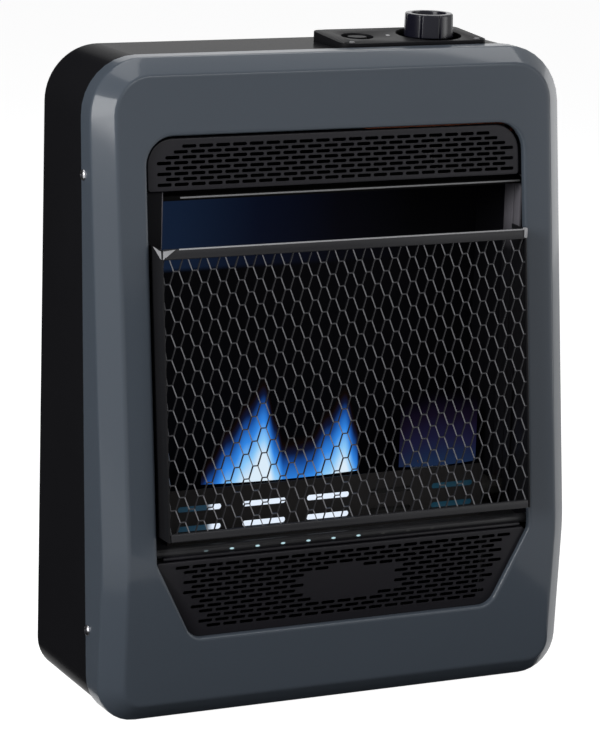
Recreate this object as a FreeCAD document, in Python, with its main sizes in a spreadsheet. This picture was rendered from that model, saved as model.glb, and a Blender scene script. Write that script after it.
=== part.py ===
import FreeCAD, Part
import math
import os
import re

import Sketcher

# A ventless gas heater: a tapered sheet-steel casing behind a stamped front panel with a knee,
# a hexagon-mesh guard over the firebox, slotted grilles above and below it, and the gas controls
# on top. Frame: +Z up, the front faces -Y, the origin is under the middle of the bounding box.
# "Depth" always means the distance forward of the back plane.

doc = FreeCAD.newDocument("gas_heater")
sheet = doc.addObject("Spreadsheet::Sheet", "Sizes")

SIZES = {
    # The whole heater
    "overall_depth": 178.0, "panel_width": 432.0, "panel_height": 548.0,
    "panel_wall": 1.2, "casing_wall": 1.0, "liner_wall": 1.0, "seat_gap": 0.3, "overrun": 8.0,
    # Side profile of the front panel
    "rim_back_top": 83.0, "rim_back_bottom": 119.0,
    "rim_front_top": 99.0, "rim_front_knee": 149.0, "rim_front_bottom": 142.0, "knee_height": 139.0,
    "bevel_width": 16.8, "bevel_depth": 16.0,
    "panel_top_radius": 48.0, "panel_bottom_radius": 34.0,
    # The opening in the front panel
    "frame_width": 42.5, "frame_top": 62.0, "opening_draw": 33.5, "opening_bottom": 72.0,
    "opening_top_radius": 24.0, "opening_knee_radius": 12.0, "opening_low_radius": 16.0,
    "return_depth": 5.0,
    # Casing wrap and back panel
    "casing_lap": 10.0, "casing_flange": 12.0, "back_wall": 1.2,
    "rib_width": 11.0, "rib_spacing": 184.0, "rib_inset": 14.0,
    "intake_length": 78.0, "intake_height": 7.0, "intake_pitch": 92.0, "intake_row_pitch": 28.0,
    "intake_first_depth": 20.0,
    "keyhole_spacing": 300.0, "keyhole_drop": 78.0, "keyhole_head": 6.0, "keyhole_neck": 3.0,
    "keyhole_rise": 12.0,
    # Grilles
    "grille_wall": 1.0, "grille_lap": 6.0, "upper_grille_height": 45.0, "lower_grille_gap": 2.0,
    "slot_length": 60.5, "slot_web": 3.1, "slot_height": 2.2, "slot_row_pitch": 4.3, "slot_margin": 5.0,
    "bare_width": 88.0, "bare_height": 43.0, "bare_middle": 104.0, "grille_roll": 3.0,
    # Guard
    "guard_gap": 6.0, "guard_bottom": 161.0, "guard_drop": 87.5,
    "guard_rail_height": 8.5, "guard_foot_height": 7.0, "guard_rail_wall": 3.4, "guard_band_wall": 1.4,
    "net_wall": 1.4, "net_strand": 2.4, "cell_width": 30.2, "cell_edge": 9.2, "cell_height": 49.4,
    # Firebox
    "firebox_margin": 8.0, "firebox_rear": 32.0, "firebox_drop": 16.0, "floor_height": 141.0,
    "floor_front": 152.0, "lip_radius": 4.0,
    "deflector_drop": 31.0, "deflector_fall": 19.0, "deflector_reach": 117.0, "deflector_hem": 4.0,
    "lead_slot_depth": 60.0, "lead_slot_reach": 17.0, "lead_slot_height": 21.0,
    # Burner
    "burner_radius": 12.0, "burner_depth": 95.0, "burner_height": 158.0, "burner_gap": 23.5,
    "burner_neck_inset": 50.0, "port_width": 1.6, "port_length": 21.0, "port_pitch": 24.5, "port_deep": 3.0,
    "saddle_width": 14.0, "saddle_spacing": 220.0, "saddle_rise": 13.0,
    "mixer_radius": 10.0, "mixer_bore": 7.5, "mixer_inset": 24.0,
    "injector_radius": 5.0, "injector_inset": 18.0, "injector_length": 14.0, "injector_plate": 1.5,
    "injector_plate_width": 26.0,
    "shield_gap": 25.5, "shield_depth": 122.0, "shield_wall": 1.2, "shield_top": 188.5,
    "port_slot_length": 40.0, "port_slot_height": 7.0, "port_slot_pitch": 59.5,
    "port_slot_low": 155.0, "port_slot_high": 172.0,
    # Pilot group behind the burner
    "pilot_plate_depth": 74.0, "pilot_plate_wall": 1.2, "pilot_plate_inset": 112.0,
    "pilot_plate_width": 36.0, "pilot_plate_top": 176.0, "pilot_top": 182.0,
    "pilot_radius": 4.0, "pilot_offset": 18.0, "pilot_low": 158.0,
    "pilot_line_height": 150.5, "pilot_line_radius": 2.0, "pilot_riser_inset": 18.0,
    "pilot_valve_drop": 50.0,
    "probe_radius": 1.6, "probe_offset": 7.0, "probe_line_height": 145.0, "probe_riser_inset": 11.0,
    "probe_valve_drop": 42.0,
    "spark_radius": 1.6, "spark_offset": 29.0, "spark_line_height": 158.0, "spark_riser_inset": 25.0,
    "spark_cross_drop": 70.0,
    "line_bend": 6.0,
    # Gas valve and its lines
    "control_depth": 48.0, "knob_inset": 98.0, "valve_width": 54.0, "valve_front": 72.0, "valve_rear": 26.0,
    "valve_drop": 14.0, "valve_height": 46.0, "valve_neck_radius": 9.0,
    "plunger_radius": 6.0, "plunger_drop": 34.0, "plunger_height": 8.0, "plunger_room": 9.0,
    "stem_radius": 4.0, "running_gap": 0.05, "stem_rise": 17.0,
    "bracket_wall": 1.5, "bracket_width": 68.0,
    "pipe_radius": 5.0, "pipe_bend": 14.0, "pipe_riser_inset": 19.0, "pipe_valve_drop": 36.0,
    "feed_radius": 3.0, "feed_bend": 7.0, "feed_lead": 2.0, "feed_valve_drop": 35.0,
    "feed_valve_depth": 62.0,
    "regulator_inset": 66.0, "regulator_depth": 46.0, "regulator_height": 32.0, "regulator_radius": 22.0,
    "regulator_rise": 26.0, "regulator_hub": 11.0, "inlet_bore": 7.4, "inlet_length": 14.0,
    "inlet_notch_width": 60.0, "inlet_notch_top": 52.0, "outlet_reach": 28.0,
    "shelf_width": 40.0, "shelf_wall": 1.5, "screen_reach": 70.0, "screen_height": 76.0,
    # Controls on top
    "plate_left_inset": 189.0, "plate_right_inset": 61.0, "plate_rear": 15.0, "plate_front": 80.0,
    "plate_height": 4.0, "plate_corner": 9.0, "knob_well": 28.5, "igniter_well": 14.0,
    "knob_radius": 21.0, "knob_height": 20.0, "knob_lift": 4.6, "knob_dish": 15.0, "knob_dish_depth": 4.0,
    "knob_groove": 1.5, "knob_bore_depth": 14.5, "stem_hole": 6.0,
    "igniter_inset": 166.0, "button_radius": 8.0, "button_drop": 22.0, "button_proud": 2.0,
    "igniter_radius": 11.0, "igniter_drop": 54.0, "igniter_room": 9.0, "igniter_nut_radius": 15.0,
    "igniter_nut_height": 7.0,
    # Screws
    "screw_head": 3.4, "screw_head_height": 1.8, "screw_shank": 1.6, "screw_reach": 6.0, "screw_gap": 0.2,
    "rim_screw_drop": 95.0, "rim_screw_bottom": 75.0, "rim_screw_inset": 5.0,
    "plate_screw_inset": 4.6,
}
# Places and widths that follow from the sizes above. An inset is measured from the panel's right side,
# and a drop from the panel's top or the top of its opening.
FOLLOWING = {
    "opening_top": "panel_height - frame_top",
    "keyhole_height": "panel_height - keyhole_drop",
    "upper_grille_bottom": "opening_top - upper_grille_height",
    "lower_grille_top": "knee_height - lower_grille_gap",
    "guard_top": "opening_top - guard_drop",
    "firebox_top": "opening_top - firebox_drop",
    "deflector_rear": "opening_top - deflector_drop",
    "deflector_front": "deflector_rear - deflector_fall",
    "pilot_valve_height": "panel_height - pilot_valve_drop",
    "probe_valve_height": "panel_height - probe_valve_drop",
    "spark_cross_height": "panel_height - spark_cross_drop",
    "valve_high": "panel_height - valve_drop",
    "valve_low": "valve_high - valve_height",
    "plunger_low": "panel_height - plunger_drop",
    "stem_top": "panel_height + stem_rise",
    "pipe_valve_height": "panel_height - pipe_valve_drop",
    "feed_valve_height": "panel_height - feed_valve_drop",
    "button_low": "panel_height - button_drop",
    "igniter_low": "panel_height - igniter_drop",
    "rim_screw_top": "panel_height - rim_screw_drop",
    "opening_width": "panel_width - 2 * frame_width",
    "opening_low_width": "opening_width - 2 * opening_draw",
    "guard_width": "opening_width - 2 * guard_gap",
    "shield_width": "opening_width - 2 * shield_gap",
    "burner_half": "opening_width / 2 - burner_gap",
    "right_side": "panel_width / 2",
    "burner_neck": "right_side - burner_neck_inset",
    "mixer_end": "right_side - mixer_inset",
    "injector_end": "right_side - injector_inset",
    "injector_start": "injector_end - injector_length",
    "pilot_plate_left": "right_side - pilot_plate_inset",
    "pilot_x": "pilot_plate_left + pilot_offset",
    "probe_x": "pilot_plate_left + probe_offset",
    "spark_x": "pilot_plate_left + spark_offset",
    "pilot_riser": "right_side - pilot_riser_inset",
    "probe_riser": "right_side - probe_riser_inset",
    "spark_riser": "right_side - spark_riser_inset",
    "pipe_riser": "right_side - pipe_riser_inset",
    "knob_x": "right_side - knob_inset",
    "igniter_x": "right_side - igniter_inset",
    "regulator_x": "right_side - regulator_inset",
    "plate_left": "right_side - plate_left_inset",
    "plate_right": "right_side - plate_right_inset",
}
KNOB_GROOVE_COUNT = 8
INTAKE_ROWS = 3
INTAKE_COLUMNS = 4
PORT_COUNT = 12
PORT_SLOT_COLUMNS = 5
HEXAGON_COUNT = 6
SMALL_ROUND_COUNT = 10
LARGE_ROUND_COUNT = 30
TUBE_FLAT_COUNT = 8
BEND_STEP_COUNT = 2

lines = [(alias, str(value)) for alias, value in SIZES.items()]
lines += [(alias, f"={formula}") for alias, formula in FOLLOWING.items()]
for row, (alias, value) in enumerate(lines, start=1):
    sheet.set(f"A{row}", alias)
    sheet.setAlias(f"B{row}", alias)
    sheet.set(f"B{row}", value)
doc.recompute()


class Read:
    """The sheet's values by alias, for the shapes that are worked out point by point."""

    def __getattr__(self, alias):
        return float(sheet.get(alias))


d = Read()
nodes = []


def vec(x, depth, z):
    """A point from its place across, its depth forward of the back plane and its height."""
    return FreeCAD.Vector(x, d.overall_depth / 2 - depth, z)


def cells(text):
    """An expression in plain aliases, with the sheet's name put before each."""
    return re.sub(r"[a-z][a-z_]*", lambda m: f"Sizes.{m.group(0)}", text)


def keep(obj, label):
    """Name an object as one piece of the heater."""
    obj.Label = label
    nodes.append(obj)
    return obj


def solid(label, shape):
    """A piece whose shape is worked out here."""
    obj = doc.addObject("Part::Feature", label)
    obj.Shape = shape
    return keep(obj, label)


def block(label, x0, x1, near, far, z0, z1):
    """A box between two places across, two depths and two heights, all bound to the sheet."""
    obj = doc.addObject("Part::Box", label)
    obj.setExpression("Length", cells(f"({x1}) - ({x0})"))
    obj.setExpression("Width", cells(f"({far}) - ({near})"))
    obj.setExpression("Height", cells(f"({z1}) - ({z0})"))
    obj.setExpression("Placement.Base.x", cells(x0))
    obj.setExpression("Placement.Base.y", cells(f"overall_depth / 2 - ({far})"))
    obj.setExpression("Placement.Base.z", cells(z0))
    return obj


TURNS = {
    "x": FreeCAD.Rotation(FreeCAD.Vector(0, 1, 0), 90),
    "back": FreeCAD.Rotation(FreeCAD.Vector(1, 0, 0), -90),
    "z": FreeCAD.Rotation(),
}


def rod(label, radius, length, x, depth, z, along="z", flats=0):
    """A cylinder, or a prism of some flats, from one end's centre along +X, +Z or towards the back."""
    obj = doc.addObject("Part::Prism" if flats else "Part::Cylinder", label)
    obj.Placement = FreeCAD.Placement(FreeCAD.Vector(), TURNS[along])
    if flats:
        obj.Polygon = flats
    obj.setExpression("Circumradius" if flats else "Radius", cells(radius))
    obj.setExpression("Height", cells(length))
    obj.setExpression("Placement.Base.x", cells(x))
    obj.setExpression("Placement.Base.y", cells(f"overall_depth / 2 - ({depth})"))
    obj.setExpression("Placement.Base.z", cells(z))
    return obj


def fuse(label, *items):
    obj = doc.addObject("Part::MultiFuse", label)
    obj.Shapes = list(items)
    obj.Refine = True
    return obj


def cut(label, base, *tools):
    obj = doc.addObject("Part::Cut", label)
    obj.Base = base
    obj.Tool = tools[0] if len(tools) == 1 else fuse(label + "_tools", *tools)
    return obj


def rounded_wire(points, radii, place):
    """A closed outline through (across, height) corners, each rounded, put in space by place()."""
    count = len(points)
    ends = []
    for i, (x, z) in enumerate(points):
        arms = []
        for px, pz in (points[i - 1], points[(i + 1) % count]):
            length = math.hypot(px - x, pz - z)
            arms.append(((px - x) / length, (pz - z) / length))
        half = math.acos(arms[0][0] * arms[1][0] + arms[0][1] * arms[1][1]) / 2
        run = radii[i] / math.tan(half)
        mid = ((arms[0][0] + arms[1][0]) / 2, (arms[0][1] + arms[1][1]) / 2)
        size = math.hypot(*mid)
        reach = radii[i] / math.sin(half) - radii[i]
        ends.append([place(x + run * a, z + run * b) for a, b in arms]
                    + [place(x + reach * mid[0] / size, z + reach * mid[1] / size)])
    edges = []
    for i, (first, last, middle) in enumerate(ends):
        if radii[i] > 0:
            edges.append(Part.Arc(first, middle, last).toShape())
        edges.append(Part.LineSegment(last, ends[(i + 1) % count][0]).toShape())
    return Part.Wire(edges)


def polygon(points):
    return Part.Face(Part.makePolygon(points + points[:1]))


def across(profile, x0, x1):
    """A (depth, height) profile drawn out across the heater."""
    return polygon([vec(x0, q, z) for q, z in profile]).extrude(FreeCAD.Vector(x1 - x0, 0, 0))


def flat_ring(centre, along, radius, count):
    """A regular outline round a point, square to a direction that isn't front to back."""
    side = along.cross(FreeCAD.Vector(0, 1, 0)).normalize() * radius
    turns = [FreeCAD.Rotation(along, math.degrees(2 * math.pi * i / count)) for i in range(count + 1)]
    return Part.makePolygon([centre + turn.multVec(side) for turn in turns])


def small_rod(radius, start, run):
    """A small round rod, or the drill for its hole, with a few flats instead of a curved side."""
    return Part.Face(flat_ring(start, run, radius, SMALL_ROUND_COUNT)).extrude(run)


def tube(points, radius, bend):
    """A bent gas line: straight runs joined by bends of one radius, each bend in a few steps."""
    path = points[:1]
    for before, corner, after in zip(points, points[1:], points[2:]):
        into = (corner - before).normalize()
        out = (after - corner).normalize()
        angle = into.getAngle(out)
        centre = corner + (out - into).normalize() * (bend / math.cos(angle / 2))
        arm = corner - into * (bend * math.tan(angle / 2)) - centre
        for step in range(BEND_STEP_COUNT + 1):
            turn = FreeCAD.Rotation(into.cross(out), math.degrees(angle * step / BEND_STEP_COUNT))
            path.append(centre + turn.multVec(arm))
    path.append(points[-1])
    section = flat_ring(points[0], points[1] - points[0], radius, TUBE_FLAT_COUNT)
    mitred = 1
    return Part.makePolygon(path).makePipeShell([section], True, False, mitred)


def rim_front(z):
    """Depth of the panel's rim at a height: it leans back above the knee and below it."""
    if z >= d.knee_height:
        share = (z - d.knee_height) / (d.panel_height - d.knee_height)
        return d.rim_front_knee + (d.rim_front_top - d.rim_front_knee) * share
    return d.rim_front_bottom + (d.rim_front_knee - d.rim_front_bottom) * z / d.knee_height


def face(z):
    """Depth of the panel's flat face at a height."""
    return rim_front(z) + d.bevel_depth


def grille_front(z):
    """Depth of a grille's front: just behind the return round the opening."""
    return face(z) - d.return_depth - d.seat_gap


def guard_front(z):
    """Depth of the guard's front, parallel to the face and foremost at its bottom edge."""
    return d.overall_depth + face(z) - face(d.guard_bottom)


def corner_edges(shape, z, half):
    """The edges that run forward at one height on the two sides of a width."""
    return [e for e in shape.Edges
            if abs(abs(e.CenterOfMass.x) - half) < d.seat_gap
            and all(abs(v.Z - z) < d.seat_gap for v in e.Vertexes)]


def rounded_block(profile, half, low, high, low_radius, high_radius):
    """A profile drawn out across the heater, with its four corners rounded."""
    shape = across(profile, -half, half)
    shape = shape.makeFillet(high_radius, corner_edges(shape, high, half))
    return shape.makeFillet(low_radius, corner_edges(shape, low, half))


def opening_wire(depth):
    """The outline of the opening: rounded at the top, drawn in below the knee."""
    half = d.opening_width / 2
    low = d.opening_low_width / 2
    points = [(-half, d.opening_top), (half, d.opening_top), (half, d.knee_height),
              (low, d.opening_bottom), (-low, d.opening_bottom), (-half, d.knee_height)]
    radii = [d.opening_top_radius, d.opening_top_radius, d.opening_knee_radius,
             d.opening_low_radius, d.opening_low_radius, d.opening_knee_radius]
    return rounded_wire(points, radii, lambda x, z: vec(x, depth, z))


def opening_prism(grow):
    """The opening, grown by a wall, run right through the panel from back to front."""
    wire = opening_wire(0)
    if grow > 0:
        wire = wire.makeOffset2D(grow)
    return Part.Face(wire).extrude(FreeCAD.Vector(0, -d.overall_depth - d.overrun, 0))


def side_drill(radius, x, depth, z, reach):
    """A drill along X, for a hole through a side wall."""
    return small_rod(radius, vec(x, depth, z), FreeCAD.Vector(reach, 0, 0))


def rim_screw_places():
    """The four screws that hold the panel's rim to the casing: their depth and height."""
    slope = (d.rim_back_top - d.rim_back_bottom) / d.panel_height
    for z in (d.rim_screw_top, d.rim_screw_bottom):
        yield d.rim_back_bottom + slope * z + d.rim_screw_inset, z


def rim_screw_holes():
    radius = d.screw_shank + d.screw_gap
    reach = d.panel_width + 2 * d.overrun
    return [side_drill(radius, -reach / 2, q, z, reach) for q, z in rim_screw_places()]


def tray(inset, back):
    """The panel's stamped form as a full block: rim, bevelled front and knee. The knee is where two
    blocks meet, one with the front that leans back above it and one with the front below it."""
    low, high = inset, d.panel_height - inset
    half = d.panel_width / 2 - inset
    above = (d.rim_front_top - d.rim_front_knee) / (d.panel_height - d.knee_height)
    below = (d.rim_front_knee - d.rim_front_bottom) / d.knee_height
    blocks = []
    for lean in (above, below):
        front = [(face(d.knee_height) + lean * (z - d.knee_height) - inset, z) for z in (low, high)]
        profile = [(d.rim_back_top - back, high), (d.rim_back_bottom - back, low)] + front
        shape = rounded_block(profile, half, low, high, d.panel_bottom_radius - inset,
                              d.panel_top_radius - inset)
        fore = min(shape.Faces, key=lambda f: f.normalAt(0, 0).y)
        blocks.append(shape.makeChamfer(d.bevel_depth, d.bevel_width, fore.Edges))
    return blocks[0].common(blocks[1])


def make_front_panel():
    panel = tray(0, 0).cut(tray(d.panel_wall, d.overrun))
    panel = panel.cut(opening_prism(0))
    high, low = d.panel_height, 0
    front = [(face(z) - d.panel_wall / 2, z) for z in (high, d.knee_height, low)]
    rear = [(face(z) - d.return_depth, z) for z in (low, d.knee_height, high)]
    band = across(front + rear, -d.panel_width / 2, d.panel_width / 2)
    lip = opening_prism(d.panel_wall).cut(opening_prism(0)).common(band)
    panel = panel.fuse(lip).cut(rim_screw_holes()).removeSplitter()
    return solid("front_panel", panel)


def casing_outline(inset):
    """Half width, bottom, top and corner radii of the casing, drawn in by an inset."""
    lift = d.panel_wall + d.seat_gap + inset
    half = d.panel_width / 2 - lift
    return half, lift, d.panel_height - lift, d.panel_bottom_radius - lift, d.panel_top_radius - lift


def casing_block(inset, near, grow):
    """A block of the casing's rounded form, from a depth to its slanting front edge."""
    half, low, high, low_radius, high_radius = casing_outline(inset)
    lap = d.casing_lap + grow
    profile = [(near, high), (near, low), (d.rim_back_bottom + lap, low), (d.rim_back_top + lap, high)]
    return rounded_block(profile, half, low, high, low_radius, high_radius)


def control_holes():
    """The places on top for the valve's stem, the igniter's button and the plate's screws."""
    yield d.stem_hole, d.knob_x, d.control_depth
    yield d.button_radius + 2 * d.seat_gap, d.igniter_x, d.control_depth
    for x, q in plate_screw_places():
        yield d.screw_shank + d.screw_gap, x, q


def plate_screw_places():
    for x in (d.plate_left + d.plate_screw_inset, d.plate_right - d.plate_screw_inset):
        yield x, d.plate_front - d.plate_screw_inset


def make_casing():
    shell = casing_block(0, 0, 0).cut(casing_block(d.casing_wall, -d.overrun, d.overrun))
    half, low, high, low_radius, high_radius = casing_outline(d.casing_wall)
    seat = d.back_wall + d.seat_gap
    ring = [(-half, high), (half, high), (half, low), (-half, low)]
    radii = [high_radius, high_radius, low_radius, low_radius]
    outer = rounded_wire(ring, radii, lambda x, z: vec(x, seat, z))
    inner = outer.makeOffset2D(-d.casing_flange)
    flange = Part.Face([outer, inner], "Part::FaceMakerBullseye")
    flange = flange.extrude(FreeCAD.Vector(0, -d.casing_wall, 0))
    shell = shell.fuse(flange)
    foot = casing_outline(0)[1]
    for x in (-d.rib_spacing / 2, d.rib_spacing / 2):
        shell = shell.fuse(Part.makeBox(
            d.rib_width, d.rim_back_bottom - 2 * d.rib_inset, foot + d.casing_wall / 2,
            vec(x - d.rib_width / 2, d.rim_back_bottom - d.rib_inset, 0)))
    tools = rim_screw_holes()
    for column in range(INTAKE_COLUMNS):
        x = (column - (INTAKE_COLUMNS - 1) / 2) * d.intake_pitch
        for row in range(INTAKE_ROWS):
            q = d.intake_first_depth + row * d.intake_row_pitch
            tools.append(Part.makeBox(d.intake_length, d.intake_height, d.overrun,
                                      vec(x - d.intake_length / 2, q + d.intake_height, 0)))
    for radius, x, q in control_holes():
        tools.append(small_rod(radius, vec(x, q, d.panel_height - d.overrun),
                               FreeCAD.Vector(0, 0, d.overrun)))
    return solid("casing_shell", shell.cut(tools).removeSplitter())


def make_back_panel():
    half, low, high, low_radius, high_radius = casing_outline(d.casing_wall + d.seat_gap)
    ring = [(-half, high), (half, high), (half, low), (-half, low)]
    outline = rounded_wire(ring, [high_radius, high_radius, low_radius, low_radius],
                           lambda x, z: vec(x, d.back_wall, z))
    plate = Part.Face(outline).extrude(FreeCAD.Vector(0, d.back_wall, 0))
    back = FreeCAD.Vector(0, 1, 0)
    deep = d.back_wall + 2 * d.overrun
    tools = [Part.makeBox(d.inlet_notch_width, deep, d.inlet_notch_top,
                          vec(d.regulator_x - d.inlet_notch_width / 2, d.overrun, 0))]
    for x in (-d.keyhole_spacing / 2, d.keyhole_spacing / 2):
        tools.append(Part.makeCylinder(d.keyhole_head, deep, vec(x, d.overrun, d.keyhole_height), back))
        top = d.keyhole_height + d.keyhole_rise
        tools.append(Part.makeCylinder(d.keyhole_neck, deep, vec(x, d.overrun, top), back))
        tools.append(Part.makeBox(2 * d.keyhole_neck, deep, d.keyhole_rise,
                                  vec(x - d.keyhole_neck, d.overrun, d.keyhole_height)))
    return solid("back_panel", plate.cut(tools))


def slot_rows(low, high, half_at, bare):
    """Slots in rows that break joint like bricks, as corner lists, clear of a bare middle."""
    pitch = d.slot_length + d.slot_web
    rows = int((high - low - d.slot_height) / d.slot_row_pitch) + 1
    reach = int(d.panel_width / pitch)
    for row in range(rows):
        z = low + row * d.slot_row_pitch
        room = min(half_at(z), half_at(z + d.slot_height)) - d.slot_margin
        stagger = (row % 2) * pitch / 2
        if bare and abs(z - bare[1]) < bare[2] / 2:
            starts = [(bare[0] + d.slot_length) / 2 + stagger + step * pitch for step in range(reach)]
            places = starts + [-x for x in starts]
        else:
            places = [stagger + step * pitch for step in range(-reach, reach + 1)]
        for x in places:
            left, right = x - d.slot_length / 2, x + d.slot_length / 2
            if -room < left and right < room:
                yield [(left, z), (right, z), (right, z + d.slot_height), (left, z + d.slot_height)]


def sheet_on(front, wall, outline, holes):
    """A sheet on a leaning plane, given by its depth at each height, with its holes."""
    place = lambda x, z: vec(x, front(z), z)
    wires = [rounded_wire(*outline, place)]
    for hole in holes:
        points = [place(x, z) for x, z in hole]
        wires.append(Part.makePolygon(points + points[:1]))
    return Part.Face(wires, "Part::FaceMakerBullseye").extrude(FreeCAD.Vector(0, wall, 0))


def make_upper_grille():
    lap = d.grille_lap
    half, top = d.opening_width / 2, d.opening_top
    radius = d.opening_top_radius
    points = [(-half - lap, top + lap), (half + lap, top + lap),
              (half + lap, d.upper_grille_bottom), (-half - lap, d.upper_grille_bottom)]

    def half_at(z):
        rise = max(z - (top - radius), 0)
        return half - radius + math.sqrt(max(radius ** 2 - rise ** 2, 0))

    slots = slot_rows(d.upper_grille_bottom + d.slot_margin, top - d.slot_margin, half_at, None)
    shape = sheet_on(grille_front, d.grille_wall, (points, [radius + lap, radius + lap, 0, 0]), slots)
    return solid("upper_grille", shape)


def make_lower_grille():
    lap = d.grille_lap
    half, low = d.opening_width / 2, d.opening_low_width / 2
    top, bottom = d.lower_grille_top, d.opening_bottom
    lean = (half - low) / (d.knee_height - bottom)

    def half_at(z):
        return low + (z - bottom) * lean

    points = [(-half_at(top) - lap, top), (half_at(top) + lap, top),
              (low + lap, bottom - lap), (-low - lap, bottom - lap)]
    bare = (d.bare_width, d.bare_middle, d.bare_height)
    slots = slot_rows(bottom + d.slot_margin, top - d.slot_margin, half_at, bare)
    radius = d.opening_low_radius
    shape = sheet_on(grille_front, d.grille_wall, (points, [0, 0, radius, radius]), slots)
    roll = d.grille_roll
    bead = Part.makeCylinder(roll, 2 * half_at(top), vec(-half_at(top), grille_front(top) - roll, top),
                             FreeCAD.Vector(1, 0, 0))
    return solid("lower_grille", shape.fuse(bead).removeSplitter())


def clipped(points, half, low, high):
    """The part of a convex outline that lies inside a width and two heights."""
    for axis, sign, limit in ((0, 1, half), (0, -1, half), (1, 1, high), (1, -1, -low)):
        kept = []
        for here, after in zip(points, points[1:] + points[:1]):
            room, room_after = limit - sign * here[axis], limit - sign * after[axis]
            if room >= 0:
                kept.append(here)
            if room * room_after < 0:
                share = room / (room - room_after)
                kept.append(tuple(a + (b - a) * share for a, b in zip(here, after)))
        points = kept
    return points


def hexagon_cells(half, low, high):
    """The gaps of a hexagon net inside a width and two heights, cut off along the edges."""
    step = (d.cell_width + d.cell_edge) / 2
    strand = d.net_strand / 2
    slope = math.atan2((d.cell_width - d.cell_edge) / 2, d.cell_height / 2)
    flat = d.cell_edge / 2 - strand * (1 / math.cos(slope) - math.tan(slope))
    wide = d.cell_width / 2 - strand / math.cos(slope)
    tall = d.cell_height / 2 - strand
    columns = int(half / step) + 1
    rows = int((high - low) / d.cell_height) + 1
    middle = (low + high) / 2
    edge = d.net_strand
    for column in range(-columns, columns + 1):
        x = column * step
        for row in range(-rows, rows + 1):
            z = middle + (row + (column % 2) / 2) * d.cell_height
            cell = clipped([(x - wide, z), (x - flat, z + tall), (x + flat, z + tall),
                            (x + wide, z), (x + flat, z - tall), (x - flat, z - tall)],
                           half - edge, low + edge, high - edge)
            spans = [max(p[axis] for p in cell) - min(p[axis] for p in cell) for axis in (0, 1) if cell]
            if cell and min(spans) > edge:
                yield cell


def make_guard():
    half = d.guard_width / 2
    low, high = d.guard_bottom + d.guard_foot_height, d.guard_top - d.guard_rail_height
    inner = half - d.guard_band_wall
    setback = (d.guard_rail_wall - d.net_wall) / 2
    outline = ([(-inner, high), (inner, high), (inner, low), (-inner, low)], [0, 0, 0, 0])
    net = sheet_on(lambda z: guard_front(z) - setback, d.net_wall, outline, hexagon_cells(inner, low, high))
    solid("guard_mesh", net)

    def rail(z0, z1):
        wall = d.guard_rail_wall
        return across([(guard_front(z0), z0), (guard_front(z1), z1),
                       (guard_front(z1) - wall, z1), (guard_front(z0) - wall, z0)], -inner, inner)

    solid("guard_top_rail", rail(high, d.guard_top))
    solid("guard_bottom_rail", rail(d.guard_bottom, low))
    z0, z1 = d.guard_bottom, d.guard_top
    foot = d.guard_band_wall
    for label, side in (("guard_left_band", -1), ("guard_right_band", 1)):
        edges = sorted((side * half, side * inner))
        band = across([(guard_front(z0), z0), (guard_front(z1), z1),
                       (grille_front(z1) - foot, z1), (grille_front(z0) - foot, z0)], *edges)
        edges = sorted((side * inner, side * (d.opening_width / 2 + d.grille_lap)))
        ear = across([(grille_front(z0), z0), (grille_front(z1), z1),
                      (grille_front(z1) - foot, z1), (grille_front(z0) - foot, z0)], *edges)
        solid(label, band.fuse(ear).removeSplitter())


def make_firebox():
    half = d.opening_width / 2 + d.firebox_margin
    wall = d.liner_wall
    rear, top, floor = d.firebox_rear, d.firebox_top, d.floor_height
    keep(block("firebox_back", "-opening_width / 2 - firebox_margin", "opening_width / 2 + firebox_margin",
               "firebox_rear - liner_wall", "firebox_rear", "floor_height", "firebox_top"), "firebox_back")

    def against_panel(z):
        return face(z) - d.panel_wall - d.seat_gap

    profile = [(rear - wall, floor), (against_panel(floor), floor), (against_panel(top), top),
               (rear - wall, top)]
    solid("firebox_left_side", across(profile, -half - wall, -half))
    right = across(profile, half, half + wall)
    mixer_hole = side_drill(d.mixer_radius + d.seat_gap, half - d.overrun, d.burner_depth, d.burner_height,
                            2 * d.overrun)
    leads = Part.makeBox(2 * d.overrun, d.lead_slot_reach, d.lead_slot_height,
                         vec(half - d.overrun, d.lead_slot_depth + d.lead_slot_reach, floor + wall))
    solid("firebox_right_side", right.cut([mixer_hole, leads]))

    inner = half - d.seat_gap
    deck = Part.makeBox(2 * inner, d.floor_front - rear, wall, vec(-inner, d.floor_front, floor))
    lip = Part.makeCylinder(d.lip_radius, 2 * inner, vec(-inner, d.floor_front, floor + d.lip_radius),
                            FreeCAD.Vector(1, 0, 0))
    hollow = Part.makeCylinder(d.lip_radius - wall, 2 * inner,
                               vec(-inner, d.floor_front, floor + d.lip_radius), FreeCAD.Vector(1, 0, 0))
    gap = Part.makeBox(2 * inner, d.lip_radius, d.lip_radius - wall,
                       vec(-inner, d.floor_front, floor + wall))
    solid("firebox_floor", deck.fuse(lip).cut([hollow, gap]).removeSplitter())

    reach, hem = d.deflector_reach, d.deflector_hem
    z0, z1 = d.deflector_rear, d.deflector_front
    hood = [(rear, z0), (rear, z0 - wall), (reach - wall, z1 - wall), (reach - wall, z1 - hem),
            (reach, z1 - hem), (reach, z1)]
    solid("heat_deflector", across(hood, -inner, inner))


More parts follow.
